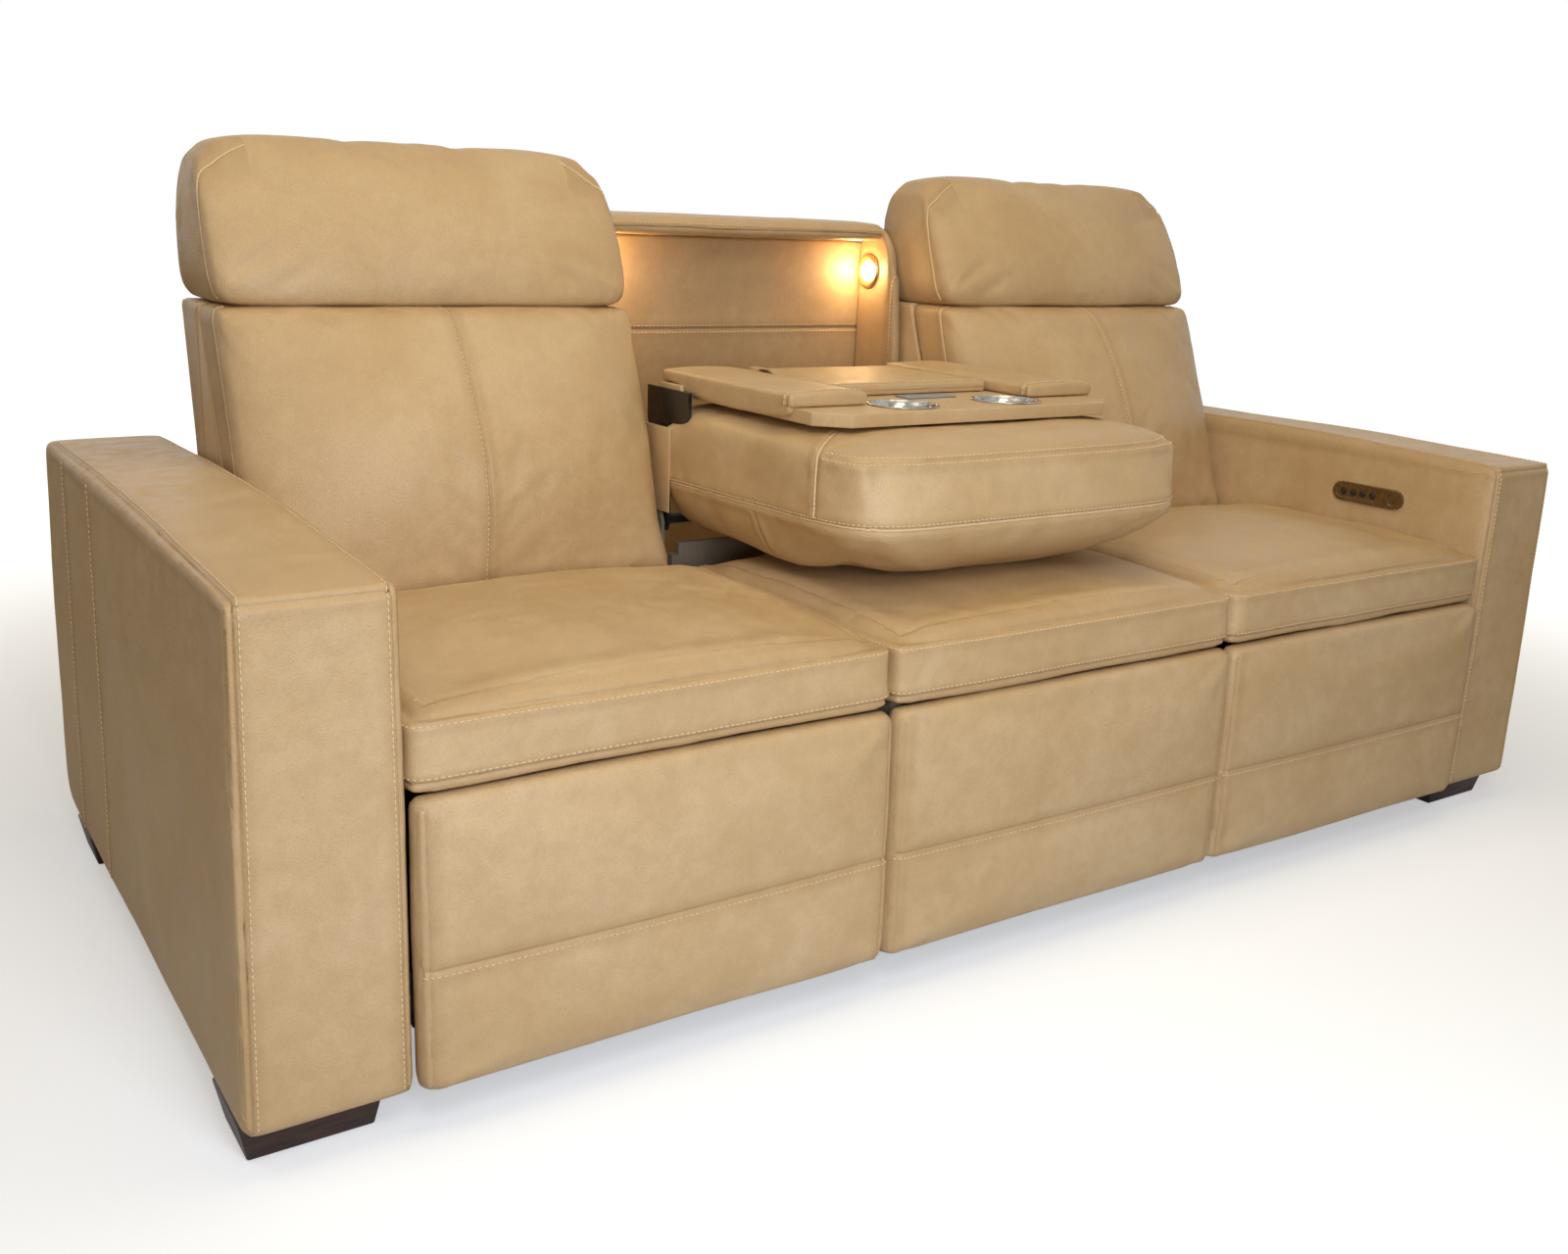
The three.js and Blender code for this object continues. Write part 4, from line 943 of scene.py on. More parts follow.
class Stitcher:
    """Cuts sewn lines into pieces and lays rows of thread along them."""

    length = 5.6
    radius = 0.85
    sink = 0.25
    reach = 16.0
    fade = 22.0
    cuts = (-2.0, -0.9, -0.35, 0.0, 0.35, 0.9, 2.0)

    def __init__(self) -> None:
        """Models one stitch, which all rows copy."""
        clear_selection()
        bpy.ops.mesh.primitive_cylinder_add(vertices=6, radius=self.radius * MM, depth=self.length * MM * 0.7,
                                            location=(0, 0, 0), rotation=(0, math.pi / 2, 0))
        pattern = bpy.context.object
        bpy.ops.object.transform_apply(location=True, rotation=True, scale=True)
        bpy.ops.object.mode_set(mode="EDIT")
        bpy.ops.mesh.select_all(action="DESELECT")
        bpy.ops.object.mode_set(mode="OBJECT")
        for end in (-1, 1):
            for face in pattern.data.polygons:
                face.select = face.normal.x * end > 0.9
            bpy.ops.object.mode_set(mode="EDIT")
            bpy.ops.mesh.extrude_region_move(TRANSFORM_OT_translate={
                "value": (end * self.length * MM * 0.15, 0, -self.radius * MM * 0.5)})
            bpy.ops.transform.resize(value=(1, 0.45, 0.45))
            bpy.ops.object.mode_set(mode="OBJECT")
        self.points = points_of(pattern)
        self.faces = [tuple(face.vertices) for face in pattern.data.polygons]
        bpy.data.objects.remove(pattern)

    def crease(self, piece: bpy.types.Object, seams: Sequence[Seam]) -> None:
        """Cuts each seam into the piece, draws it in and marks the surface near it.

        Args:
            piece: The piece, with its shape final but for the seams.
            seams: Its sewn lines.
        """
        for seam in seams:
            self.cut(piece, seam)
        places, normals = points_of(piece), normals_of(piece)
        near, shift = np.zeros(len(places)), np.zeros(len(places))
        for seam in seams:
            distance = np.abs(seam.signed(places))
            kept = seam.keep(places / MM)
            drop = seam.depth * np.exp(-(distance / (seam.width * 0.6)) ** 2)
            rise = seam.hump * np.exp(-((distance - seam.width * 2.2) / (seam.width * 1.4)) ** 2)
            shift += np.where(kept, rise - drop, 0.0)
            near = np.maximum(near, np.where(kept, np.exp(-(distance / self.fade) ** 2), 0.0))
        put_points(piece, places + normals * (shift * MM)[:, None])
        self.mark(piece, near)

    def cut(self, piece: bpy.types.Object, seam: Seam) -> None:
        """Divides the faces near a seam along it, so that the crease has a clean shape.

        Args:
            piece: The piece.
            seam: The line.
        """
        centres = rows_of(piece.data.polygons, "center")
        chosen = (np.abs(seam.signed(centres)) < self.reach + seam.width * 2) & seam.keep(centres / MM)
        if not chosen.any():
            return
        activate(piece)
        piece.data.vertices.foreach_set("select", np.zeros(len(piece.data.vertices), bool))
        piece.data.edges.foreach_set("select", np.zeros(len(piece.data.edges), bool))
        piece.data.polygons.foreach_set("select", chosen)
        bpy.ops.object.mode_set(mode="EDIT")
        bpy.ops.mesh.hide(unselected=True)
        for share in self.cuts:
            bpy.ops.mesh.select_all(action="SELECT")
            bpy.ops.mesh.bisect(plane_co=Vector(seam.moved(seam.width * share).at) * MM,
                                plane_no=Vector(seam.normal).normalized())
        bpy.ops.mesh.reveal(select=False)
        bpy.ops.object.mode_set(mode="OBJECT")

    @staticmethod
    def mark(piece: bpy.types.Object, near: np.ndarray) -> None:
        """Stores how near each vertex lies to a seam, for the painted shade and folds of the leather.

        Args:
            piece: The piece.
            near: One value from 0 to 1 a vertex.
        """
        attribute = piece.data.attributes.get("seam") or piece.data.attributes.new("seam", "FLOAT", "POINT")
        attribute.data.foreach_set("value", near.astype(np.float32))

    def path(self, piece: bpy.types.Object, seam: Seam) -> list[np.ndarray]:
        """Follows a seam over the surface.

        Args:
            piece: The piece.
            seam: The line.

        Returns:
            Chains of points in metres.
        """
        work = bmesh.new()
        work.from_mesh(piece.data)
        cut = bmesh.ops.bisect_plane(work, geom=work.verts[:] + work.edges[:] + work.faces[:],
                                     plane_co=Vector(seam.at) * MM, plane_no=Vector(seam.normal))
        edges = [e for e in cut["geom_cut"] if isinstance(e, bmesh.types.BMEdge)]
        middles = np.array([(e.verts[0].co + e.verts[1].co) / 2 for e in edges], float).reshape(-1, 3)
        links: dict[Place, list[Place]] = {}
        for edge, good in zip(edges, seam.keep(middles / MM) if edges else []):
            if good:
                first, second = (tuple(np.round(np.array(v.co), 7)) for v in edge.verts)
                links.setdefault(first, []).append(second)
                links.setdefault(second, []).append(first)
        work.free()
        chains = []
        left = set(links)
        while left:
            start = next((k for k in left if len(links[k]) == 1), None) or min(left)
            chain = [start]
            left.discard(start)
            while onward := [k for k in links[chain[-1]] if k in left]:
                chain.append(onward[0])
                left.discard(onward[0])
            if len(chain) > 2:
                chains.append(np.array(chain, float))
        return chains

    def sew(self, piece: bpy.types.Object, seams: Iterable[Seam], name: str,
            thread: bpy.types.Material) -> bpy.types.Object | None:
        """Lays the rows of stitches and the piping of all seams of a piece.

        Args:
            piece: The piece, creased.
            seams: Its sewn lines.
            name: Name of the thread piece.
            thread: Its material.

        Returns:
            The thread, or None where no seam has rows.
        """
        surface = BVHTree.FromObject(piece, bpy.context.evaluated_depsgraph_get())
        points: list[np.ndarray] = []
        faces: list[tuple[int, ...]] = []
        for seam in seams:
            lines = [(row, seam.pitch, 1.0) for row in seam.rows]
            if seam.cord:
                lines.append((0.0, self.length * seam.cord * 0.6, seam.cord))
            for row, pitch, scale in lines:
                for chain in self.path(piece, seam.moved(row)):
                    for stitch in self.row(chain, pitch, scale, surface):
                        start = len(points) * len(self.points)
                        faces.extend(tuple(start + v for v in face) for face in self.faces)
                        points.append(stitch)
        if not points:
            return None
        mesh = bpy.data.meshes.new(name)
        mesh.from_pydata(np.vstack(points).tolist(), [], faces)
        mesh.update()
        mesh.materials.append(thread)
        laid = new_object(name, mesh)
        smooth_shading(laid)
        return laid

    def row(self, chain: np.ndarray, pitch: float, scale: float, surface: BVHTree) -> list[np.ndarray]:
        """Places stitches along one chain.

        Args:
            chain: Points in metres.
            pitch: Distance between stitches in millimetres.
            scale: Size of a stitch; lengths of cord are large stitches that overlap.
            surface: The piece's surface.

        Returns:
            The vertex places of each stitch.
        """
        spans = np.linalg.norm(np.diff(chain, axis=0), axis=1)
        run = np.concatenate([[0.0], np.cumsum(spans)])
        count = int(run[-1] / (pitch * MM))
        if count < 2:
            return []
        half = self.length * MM * 0.5 * scale
        made = []
        for at in (np.arange(count) + 0.5) * run[-1] / count:
            ends = [np.array([np.interp(at + step, run, chain[:, axis]) for axis in range(3)])
                    for step in (-half, half)]
            along = ends[1] - ends[0]
            size = np.linalg.norm(along)
            if size < half * 0.5:
                continue
            along /= size
            place, normal, _, _ = surface.find_nearest(Vector((ends[0] + ends[1]) / 2))
            up = np.array(normal, float)
            up -= along * (up @ along)
            up /= max(np.linalg.norm(up), 1e-9)
            base = np.array(place, float) + up * (self.radius - self.sink) * MM * 0.6 * scale
            made.append(base + scale * self.points @ np.array([along, np.cross(up, along), up]))
        return made


class Workshop:
    """Tools and finishes that the classes of the sofa share."""

    def __init__(self) -> None:
        """Builds the finishes and the stitch."""
        self.finish = Finishes()
        self.stitcher = Stitcher()

    def dress(self, piece: bpy.types.Object, body: str, slot: Slot, material: bpy.types.Material,
              replaced: Sequence[str] = ()) -> None:
        """Gives a new piece its material and body, and hides the node it stands for.

        Args:
            piece: The piece.
            body: CAD body that it rides on.
            slot: Slot of the record, not used.
            material: Its finish.
            replaced: CAD nodes that it replaces.
        """
        piece.data.materials.clear()
        piece.data.materials.append(material)
        if "seam" not in piece.data.attributes:
            Stitcher.mark(piece, np.zeros(len(piece.data.vertices)))
        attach(piece, body)
        if replaced:
            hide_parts(*replaced)
        LOG.info("piece %s: %d faces", piece.name, len(piece.data.polygons))

    def repaint(self, node: str, material: bpy.types.Material) -> None:
        """Gives a CAD node a better material.

        Args:
            node: Name of the node.
            material: Its finish.
        """
        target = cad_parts[node]
        for material_slot in target.material_slots:
            material_slot.material = material
        if not target.material_slots:
            target.data.materials.append(material)

    def sewn(self, piece: bpy.types.Object, seams: Sequence[Seam], body: str) -> None:
        """Creases a piece along its seams and adds the thread.

        Args:
            piece: The piece.
            seams: Its sewn lines.
            body: CAD body that both ride on.
        """
        self.stitcher.crease(piece, seams)
        thread = self.stitcher.sew(piece, seams, f"{piece.name}_thread", self.finish.thread)
        if thread is not None:
            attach(thread, body)
            LOG.info("thread %s: %d faces", thread.name, len(thread.data.polygons))

    def cover(self, piece: bpy.types.Object, node: str, body: str, seams: Sequence[Seam],
              shaded: bool = False, angle: float = 180.0) -> None:
        """Ends a leather piece: shading, seams and finish.

        Args:
            piece: The piece, in its final shape.
            node: The CAD node that it replaces.
            body: CAD body that it rides on.
            seams: Its sewn lines.
            shaded: Whether it takes the darker hide of the recess, a copy of the leather with painted shade.
            angle: Sharpest edge that is shaded smoothly, in degrees.
        """
        smooth_shading(piece, angle)
        if seams:
            self.sewn(piece, seams, body)
        hide = self.finish.shaded if shaded else self.finish.leather
        self.dress(piece, body, Slot.LEATHER, hide, [node])

    def hard(self, node: str, name: str, body: str, slot: Slot, material: bpy.types.Material,
             levels: int = 0, edge: float = 0.0, angle: float = SHARP) -> None:
        """Builds a hard piece from its node.

        Args:
            node: The CAD node.
            name: Name of the piece.
            body: CAD body that it rides on.
            slot: Slot of the record.
            material: Its finish.
            levels: Subdivision levels.
            edge: Width of its rounded edges in millimetres, zero for none.
            angle: Sharpest edge that is shaded smoothly, in degrees.
        """
        piece = from_node(node, name, levels)
        if edge:
            bevel(piece, edge)
        smooth_shading(piece, angle)
        self.dress(piece, body, slot, material, [node])


# Parts of the sofa


def front_line(height: np.ndarray) -> np.ndarray:
    """Depth of the recliner's front face at given heights, both in millimetres of the frame.

    Args:
        height: Heights above the floor.

    Returns:
        Y of the front face, without its crown.
    """
    foot, lean, bottom, top = 541.0, 254.0, 458.0, 1072.0
    rise_shares = (0.0, 0.03, 0.12, 0.3, 0.5, 0.654, 0.85, 1.0)
    lean_shares = (0.0, 0.08, 0.18, 0.31, 0.49, 0.634, 0.845, 1.02)
    share = (np.asarray(height) - bottom) / (top - bottom)
    return depth(foot) + lean * np.interp(share, rise_shares, lean_shares)


@dataclass
class Arm:
    """Tall board arm in leather on two wooden feet, with sewn front, top and side panels.

    Its sewn lines run as far behind a face as that face's skin value says. The upright lines of
    its outer side stand at the depths in side_lines.
    """

    side: Side
    inner: float = ARM_INNER
    outer: float = HALF_WIDTH
    lean: float = 14.0
    height: float = 626.0
    inset: float = 9.0
    side_lines: tuple[float, float] = (905.0, 700.0)
    front_skin: float = 9.0
    top_skin: float = 18.0
    side_skin: float = 40.0
    top_front: float = 6.0
    top_rear: float = 1040.0
    low: float = 60.0
    side_low: float = 62.0
    side_high: float = 620.0
    tilt_low: float = 50.0
    foot_edge: float = 2.5
    proud: float = 4.0
    waves: tuple[Wave, ...] = (Wave(210.0, 1.6, 3.1, stretch=(1, 1.2, 1)), Wave(70.0, 0.5, 7.7))

    def build(self, shop: Workshop) -> None:
        """Builds the arm, its thread and its feet.

        Args:
            shop: Shared tools.
        """
        name, sign = self.side.word, self.side.value
        piece = from_node(f"arm_{name}", f"leather_arm_{name}", levels=2)
        remesh(piece, 4)
        settle(piece, f"arm_{name}", [replace(w, seed=w.seed * sign) for w in self.waves], self.proud)
        shop.cover(piece, f"arm_{name}", "root", self.seams())
        for end in ("front", "rear"):
            shop.hard(f"foot_{end}_{name}", f"wood_foot_{end}_{name}", "root", Slot.WOOD, shop.finish.wood,
                      edge=self.foot_edge)

    def seams(self) -> list[Seam]:
        """Sewn lines of the arm.

        Returns:
            The seams of its front panel, top panel and outer side.
        """
        sign = self.side.value
        tilt = (sign * 1.0, 0.0, self.lean / self.height)
        inner_line, outer_line = self.inner + self.inset, self.outer - self.inset
        front = lambda p: (p[:, 1] < depth(self.front_skin)) & (p[:, 2] > self.low)
        across_front = lambda p: front(p) & (np.abs(p[:, 0]) > inner_line) & (
            np.abs(p[:, 0]) < outer_line - self.lean)
        on_top = lambda p: (p[:, 2] > self.height - self.top_skin) & (p[:, 1] > depth(self.top_front)) & (
            p[:, 1] < depth(self.top_rear))
        outside = lambda p: (p[:, 0] * sign > self.outer - self.side_skin) & (p[:, 2] > self.side_low) & (
            p[:, 2] < self.side_high)
        inner_seam = Seam((sign * inner_line, 0, 0), (sign, 0, 0), front, rows=(6.5,))
        outer_seam = Seam((sign * outer_line, 0, self.tilt_low), tilt, front, rows=(-6.5,))
        edge = Seam((0, 0, self.height - self.inset), (0, 0, 1), across_front, depth=1.8, rows=())
        upright = Seam((0, 0, 0), (0, 1, 0), outside, depth=1.2, width=3.0, rows=(5.5,))
        return [inner_seam, outer_seam, edge, replace(inner_seam, keep=on_top),
                replace(outer_seam, keep=on_top),
                *(replace(upright, at=(0, depth(line), 0)) for line in self.side_lines)]


@dataclass
class SeatUnit:
    """What the recliners and the middle seat share: a boxed seat cushion and a front panel.

    Values named seam say where the sewn lines run, held what stays still while the cushion is
    filled, and top and corner what is softened after that, with its passes. Side values count
    inwards from the side faces, and front and rear values are depths.
    """

    word: str
    centre: float
    seat_node: str
    panel_node: str
    seat_body: str
    panel_body: str
    seam_low: float = 408.0
    seam_high: float = 477.0
    seam_rear: float = 540.0
    seam_side: float = 26.0
    seam_front: float = 34.0
    held_side: float = 16.0
    held_front: float = 24.0
    held_low: float = 405.0
    held_rear: float = 560.0
    seat_front: float = 0.0
    seat_proud: float = 9.0
    seat_spread: float = 3.6
    fill_height: float = 8.0
    fill_fade: float = 80.0
    top_low: float = 466.0
    top_side: float = 22.0
    top_front: float = 20.0
    top_passes: int = 110
    corner: float = 26.0
    corner_passes: int = 22
    panel_front: float = -18.0
    panel_seam: float = 199.0
    panel_skin: float = 12.0
    panel_held: float = 14.0
    panel_hold: float = 4.0
    panel_edge: float = 9.0
    panel_corner: float = 24.0
    panel_passes: int = 6
    panel_proud: float = 8.0
    panel_spread: float = 2.2
    filling: EdgeFill = EdgeFill(at=38.0, spread=26.0, rise=12.0)
    seat_waves: tuple[Wave, ...] = (Wave(120.0, 2.4, drift=400.0, stretch=(1.3, 1, 1)),
                                    Wave(42.0, 0.7, drift=300.0))
    panel_waves: tuple[Wave, ...] = (Wave(130.0, 1.5, 2.0, drift=350.0, stretch=(1.5, 1, 1)),)
    seat_puffer: Puffer = Puffer()
    panel_puffer: Puffer = Puffer(cap=7.0, pressure=2.0, levels=0)

    def build(self, shop: Workshop) -> None:
        """Builds the seat cushion and the front panel.

        Args:
            shop: Shared tools.
        """
        self.build_seat(shop)
        self.build_panel(shop)

    def off(self, p: np.ndarray) -> np.ndarray:
        """Distance of places from the middle of the seat, sideways."""
        return np.abs(p[:, 0] - self.centre)

    def held_seat(self, p: np.ndarray) -> np.ndarray:
        """Tells which places of the seat stay still: its seams, underside and rear.

        Args:
            p: Places in millimetres.

        Returns:
            True for each that stays.
        """
        on_line = near_any(p[:, 2], (self.seam_low, self.seam_high))
        at_edge = (self.off(p) > UNIT_HALF - self.held_side) | (p[:, 1] < depth(self.held_front))
        return (on_line & at_edge) | (p[:, 2] < self.held_low) | (p[:, 1] > depth(self.held_rear))

    def held_panel(self, p: np.ndarray) -> np.ndarray:
        """Tells which places of the panel stay still: its back board and cross seam."""
        behind = p[:, 1] > depth(self.panel_front + self.panel_held)
        return behind | (np.abs(p[:, 2] - self.panel_seam) < self.panel_hold)

    def build_seat(self, shop: Workshop) -> None:
        """Builds the boxed cushion with its two sewn lines.

        Args:
            shop: Shared tools.
        """
        piece = from_node(self.seat_node, f"{self.word}_seat_leather")
        self.seat_puffer.fill(piece, self.held_seat)
        self.filling.shape(
            piece, lambda p: np.minimum(UNIT_HALF - self.off(p), p[:, 1] - depth(self.seat_front)),
            lambda p: np.clip((p[:, 2] - self.seam_high) / self.fill_height, 0, 1)
            * np.clip((depth(self.seam_rear) - p[:, 1]) / self.fill_fade, 0, 1))
        soften(piece, lambda p: (p[:, 2] > self.top_low) & (self.off(p) < UNIT_HALF - self.top_side) & (
            p[:, 1] > depth(self.top_front)), self.top_passes)
        soften(piece, lambda p: (self.off(p) > UNIT_HALF - self.corner) & (p[:, 1] < depth(self.corner)),
               self.corner_passes)
        self.widen(piece, self.seat_spread)
        settle(piece, self.seat_node, self.seat_waves, self.seat_proud, self.centre)
        around = lambda p: (p[:, 1] < depth(self.seam_rear)) & (
            (self.off(p) > UNIT_HALF - self.seam_side) | (p[:, 1] < depth(self.seam_front)))
        seams = [Seam((0, 0, height), (0, 0, 1), around, depth=2.6, hump=2.0, rows=(row,))
                 for height, row in ((self.seam_high, -6.5), (self.seam_low, 6.5))]
        shop.cover(piece, self.seat_node, self.seat_body, seams)

    def widen(self, piece: bpy.types.Object, spread: float) -> None:
        """Presses the sides of a padded piece out, so that it nearly meets its neighbours.

        Args:
            piece: The piece.
            spread: How far each side moves, in millimetres.
        """
        places = points_of(piece)
        middle = self.centre * MM
        places[:, 0] = middle + (places[:, 0] - middle) * (1 + spread / UNIT_HALF)
        put_points(piece, places)

    def build_panel(self, shop: Workshop) -> None:
        """Builds the padded front panel with its low cross seam.

        Args:
            shop: Shared tools.
        """
        piece = from_node(self.panel_node, f"{self.word}_panel_leather")
        self.panel_puffer.fill(piece, self.held_panel)
        soften(piece, lambda p: (self.off(p) > UNIT_HALF - self.panel_corner) & (
            p[:, 1] < depth(self.panel_front + self.panel_corner)), self.panel_passes)
        self.widen(piece, self.panel_spread)
        settle(piece, self.panel_node, self.panel_waves, self.panel_proud, self.centre)
        front = lambda p: p[:, 1] < depth(self.panel_front + self.panel_skin)
        seams = [Seam((0, 0, self.panel_seam), (0, 0, 1), front, depth=2.4, rows=(-6.0,))]
        for sign in (-1, 1):
            edge = self.centre + sign * (UNIT_HALF - self.panel_edge)
            seams.append(Seam((edge, 0, 0), (sign, 0, 0), front, depth=1.2, width=3.0, rows=()))
        shop.cover(piece, self.panel_node, self.panel_body, seams)


@dataclass
class Recliner(SeatUnit):
    """One reclining end seat: adds back cushion, headrest, back shell and mechanism.

    Its edge values place the piping up both sides of the back, a leaning line through
    edge_depth and edge_height. The crease parts back and headrest, and the tuck draws the
    headrest's bottom down onto the back.
    """

    crease: float = 848.0
    edge_depth: float = 701.0
    edge_height: float = 748.0
    edge_lean: float = 0.338
    edge_low: float = 470.0
    edge_high: float = 1100.0
    edge_side: float = 12.0
    edge_near: float = 5.0
    edge_reach: float = 75.0
    front_skin: float = 60.0
    rear_skin: float = 70.0
    head_held: float = 10.0
    tuck: float = 7.0
    tuck_reach: float = 24.0
    proud: float = 8.0
    shell_edge: float = 2.0
    back_puffer: Puffer = Puffer(cap=12.0, pressure=2.2)
    head_puffer: Puffer = Puffer(cap=14.0)
    back_waves: tuple[Wave, ...] = (Wave(130.0, 2.2, 5.0, drift=410.0, stretch=(1, 1, 1.4)),
                                    Wave(45.0, 0.6, drift=210.0))
    head_waves: tuple[Wave, ...] = (Wave(110.0, 2.4, 8.0, drift=390.0, stretch=(1.5, 1, 1)),)

    @classmethod
    def at(cls, side: Side) -> "Recliner":
        """Makes the recliner of one side.

        Args:
            side: Which end of the sofa.

        Returns:
            The recliner.
        """
        word = side.word
        return cls(word, side.value * SEAT_PITCH, f"{word}_seat_cushion", f"{word}_footrest_panel",
                   f"{word}_seat", f"{word}_footrest")

    def build(self, shop: Workshop) -> None:
        """Builds all pieces of the recliner.

        Args:
            shop: Shared tools.
        """
        super().build(shop)
        self.build_back(shop)
        self.build_headrest(shop)
        self.build_shell(shop)
        for part in ("seat_frame", "lift_bars", "cross_bars", "stay_bars", "panel_carrier"):
            shop.repaint(f"{self.word}_{part}", shop.finish.steel)
        shop.repaint(f"{self.word}_actuator", shop.finish.plastic)

    def front(self, p: np.ndarray) -> np.ndarray:
        """Tells the front face of the back from its rear."""
        return p[:, 1] < front_line(p[:, 2]) + self.front_skin

    def on_edge(self, p: np.ndarray) -> np.ndarray:
        """Tells the lines of piping up the sides of the back."""
        behind = p[:, 1] - depth(self.edge_depth) - self.edge_lean * (p[:, 2] - self.edge_height)
        return (self.off(p) > UNIT_HALF - self.edge_side) & (np.abs(behind) < self.edge_near)

    def held_back(self, p: np.ndarray) -> np.ndarray:
        """Tells which places of the back stay still: its middle seam, piping and rear."""
        behind = p[:, 1] > front_line(p[:, 2]) + self.rear_skin
        return (self.front(p) & (self.off(p) < HOLD)) | self.on_edge(p) | behind

    def held_head(self, p: np.ndarray) -> np.ndarray:
        """Tells which places of the headrest stay still: its piping and its bottom."""
        return self.on_edge(p) | (p[:, 2] < self.crease + self.head_held)

    def edge_seam(self, low: float, high: float) -> Seam:
        """The piping that runs up both sides of the back between two heights.

        Args:
            low: Lowest height.
            high: Highest height.

        Returns:
            The seam, with its cord.
        """
        sides = lambda p: (self.off(p) > UNIT_HALF - self.edge_reach) & (p[:, 2] > low) & (p[:, 2] < high)
        return Seam((0, depth(self.edge_depth), self.edge_height), (0, 1, -self.edge_lean), sides,
                    depth=1.6, width=3.0, hump=0.6, rows=(), cord=2.1)

    def build_back(self, shop: Workshop) -> None:
        """Builds the back cushion with its upright seam and edge seams.

        Args:
            shop: Shared tools.
        """
        node = f"{self.word}_back_cushion"
        piece = from_node(node, f"{self.word}_back_leather")
        self.back_puffer.fill(piece, self.held_back)
        settle(piece, node, self.back_waves, self.proud, self.centre)
        seams = [Seam((self.centre, 0, 0), (1, 0, 0), self.front, depth=2.0, width=3.0, hump=0.6,
                      rows=(-4.5,)),
                 self.edge_seam(self.edge_low, self.crease - 4)]
        shop.cover(piece, node, f"{self.word}_back", seams)

    def build_headrest(self, shop: Workshop) -> None:
        """Builds the pillow headrest, drawn down tight onto the back cushion.

        Args:
            shop: Shared tools.
        """
        node = f"{self.word}_headrest"
        piece = from_node(node, f"{self.word}_head_leather")
        self.head_puffer.fill(piece, self.held_head)
        settle(piece, node, self.head_waves, self.proud, self.centre)
        places = points_of(piece)
        near = np.clip((self.crease + self.tuck_reach - places[:, 2] / MM) / self.tuck_reach, 0, 1)
        places[:, 2] -= self.tuck * MM * near
        put_points(piece, places)
        shop.cover(piece, node, f"{self.word}_head", [self.edge_seam(self.crease + 8, self.edge_high)])

    def build_shell(self, shop: Workshop) -> None:
        """Builds the leather-covered board behind the back.

        Args:
            shop: Shared tools.
        """
        node = f"{self.word}_back_shell"
        piece = from_node(node, f"{self.word}_shell_leather", levels=0)
        bevel(piece, self.shell_edge, sharper=50)
        shop.cover(piece, node, f"{self.word}_back", [], angle=SHARP)


@dataclass
class Niche:
    """Padded recess behind the console, with its side wings, rail and two lamps.

    A band is how far a sewn line lies behind or above the edge of its piece, but for the back,
    whose line has the height band.
    """

    inner: float = 293.0
    band: float = 791.0
    back_front: float = 990.0
    back_half: float = 300.0
    rail_band: float = 14.0
    rail_front: float = 880.0
    rail_half: float = 284.0
    lamp_depth: float = 913.0
    lamp_height: float = 898.0
    lamp_power: float = 0.55
    lamp_colour: Colour = (1.0, 0.66, 0.30)
    lamp_gap: float = 22.0
    lamp_radius: float = 14.0
    wing_band: float = 22.0
    wing_low: float = 500.0
    back_wave: Wave = Wave(120.0, 1.2, 2.2)
    rail_wave: Wave = Wave(90.0, 1.4, 4.4)

    def build(self, shop: Workshop) -> None:
        """Builds the recess and its lamps.

        Args:
            shop: Shared tools.
        """
        back = from_node("niche_back", "niche_back_leather", levels=2)
        self.back_wave.shape(back)
        facing = lambda p: (p[:, 1] < depth(self.back_front)) & (np.abs(p[:, 0]) < self.back_half)
        seams = [Seam((0, 0, self.band), (0, 0, 1), facing, depth=2.0, rows=(-6.0, 6.0))]
        shop.cover(back, "niche_back", "root", seams, shaded=True)
        rail = from_node("niche_rail", "niche_rail_leather", levels=2)
        self.rail_wave.shape(rail)
        lip = lambda p: (p[:, 1] < depth(self.rail_front)) & (np.abs(p[:, 0]) < self.rail_half)
        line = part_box("niche_rail")[0].z / MM + self.rail_band
        shop.cover(rail, "niche_rail", "root", [Seam((0, 0, line), (0, 0, 1), lip, depth=1.6, width=3.0)])
        for side in Side:
            self.build_wing(shop, side)
            self.build_lamp(shop, side)
        for node, finish in (("lower_screen", shop.finish.cloth), ("base_frame", shop.finish.steel),
                             ("centre_frame", shop.finish.cloth)):
            shop.repaint(node, finish)

    def build_wing(self, shop: Workshop, side: Side) -> None:
        """Builds one side wing with its seam.

        Args:
            shop: Shared tools.
            side: Side of the recess.
        """
        node = f"niche_wing_{side.word}"
        wing = from_node(node, f"niche_wing_leather_{side.word}", levels=2)
        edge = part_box(node)[0].y / MM + self.wing_band
        seam = Seam((0, edge, 0), (0, 1, 0), lambda p: p[:, 2] > self.wing_low, depth=1.4, rows=(-5.0,))
        shop.cover(wing, node, "root", [seam], shaded=True, angle=50)

    def build_lamp(self, shop: Workshop, side: Side) -> None:
        """Builds one recessed lamp: a bright ring, a lit lens and its light.

        Args:
            shop: Shared tools.
            side: Wing that carries it.
        """
        name = side.word
        shop.hard(f"light_bezel_{name}", f"lamp_ring_{name}", "root", Slot.BRONZE, shop.finish.copper,
                  levels=1, angle=50)
        shop.hard(f"light_lens_{name}", f"lamp_lens_{name}", "root", Slot.LENS, shop.finish.glow,
                  levels=1, angle=60)
        source = new_light(f"niche_light_{name}", "POINT", self.lamp_power, self.lamp_colour)
        source.data.shadow_soft_size = self.lamp_radius * MM
        source.location = Vector((side.value * (self.inner - self.lamp_gap), depth(self.lamp_depth),
                                  self.lamp_height)) * MM


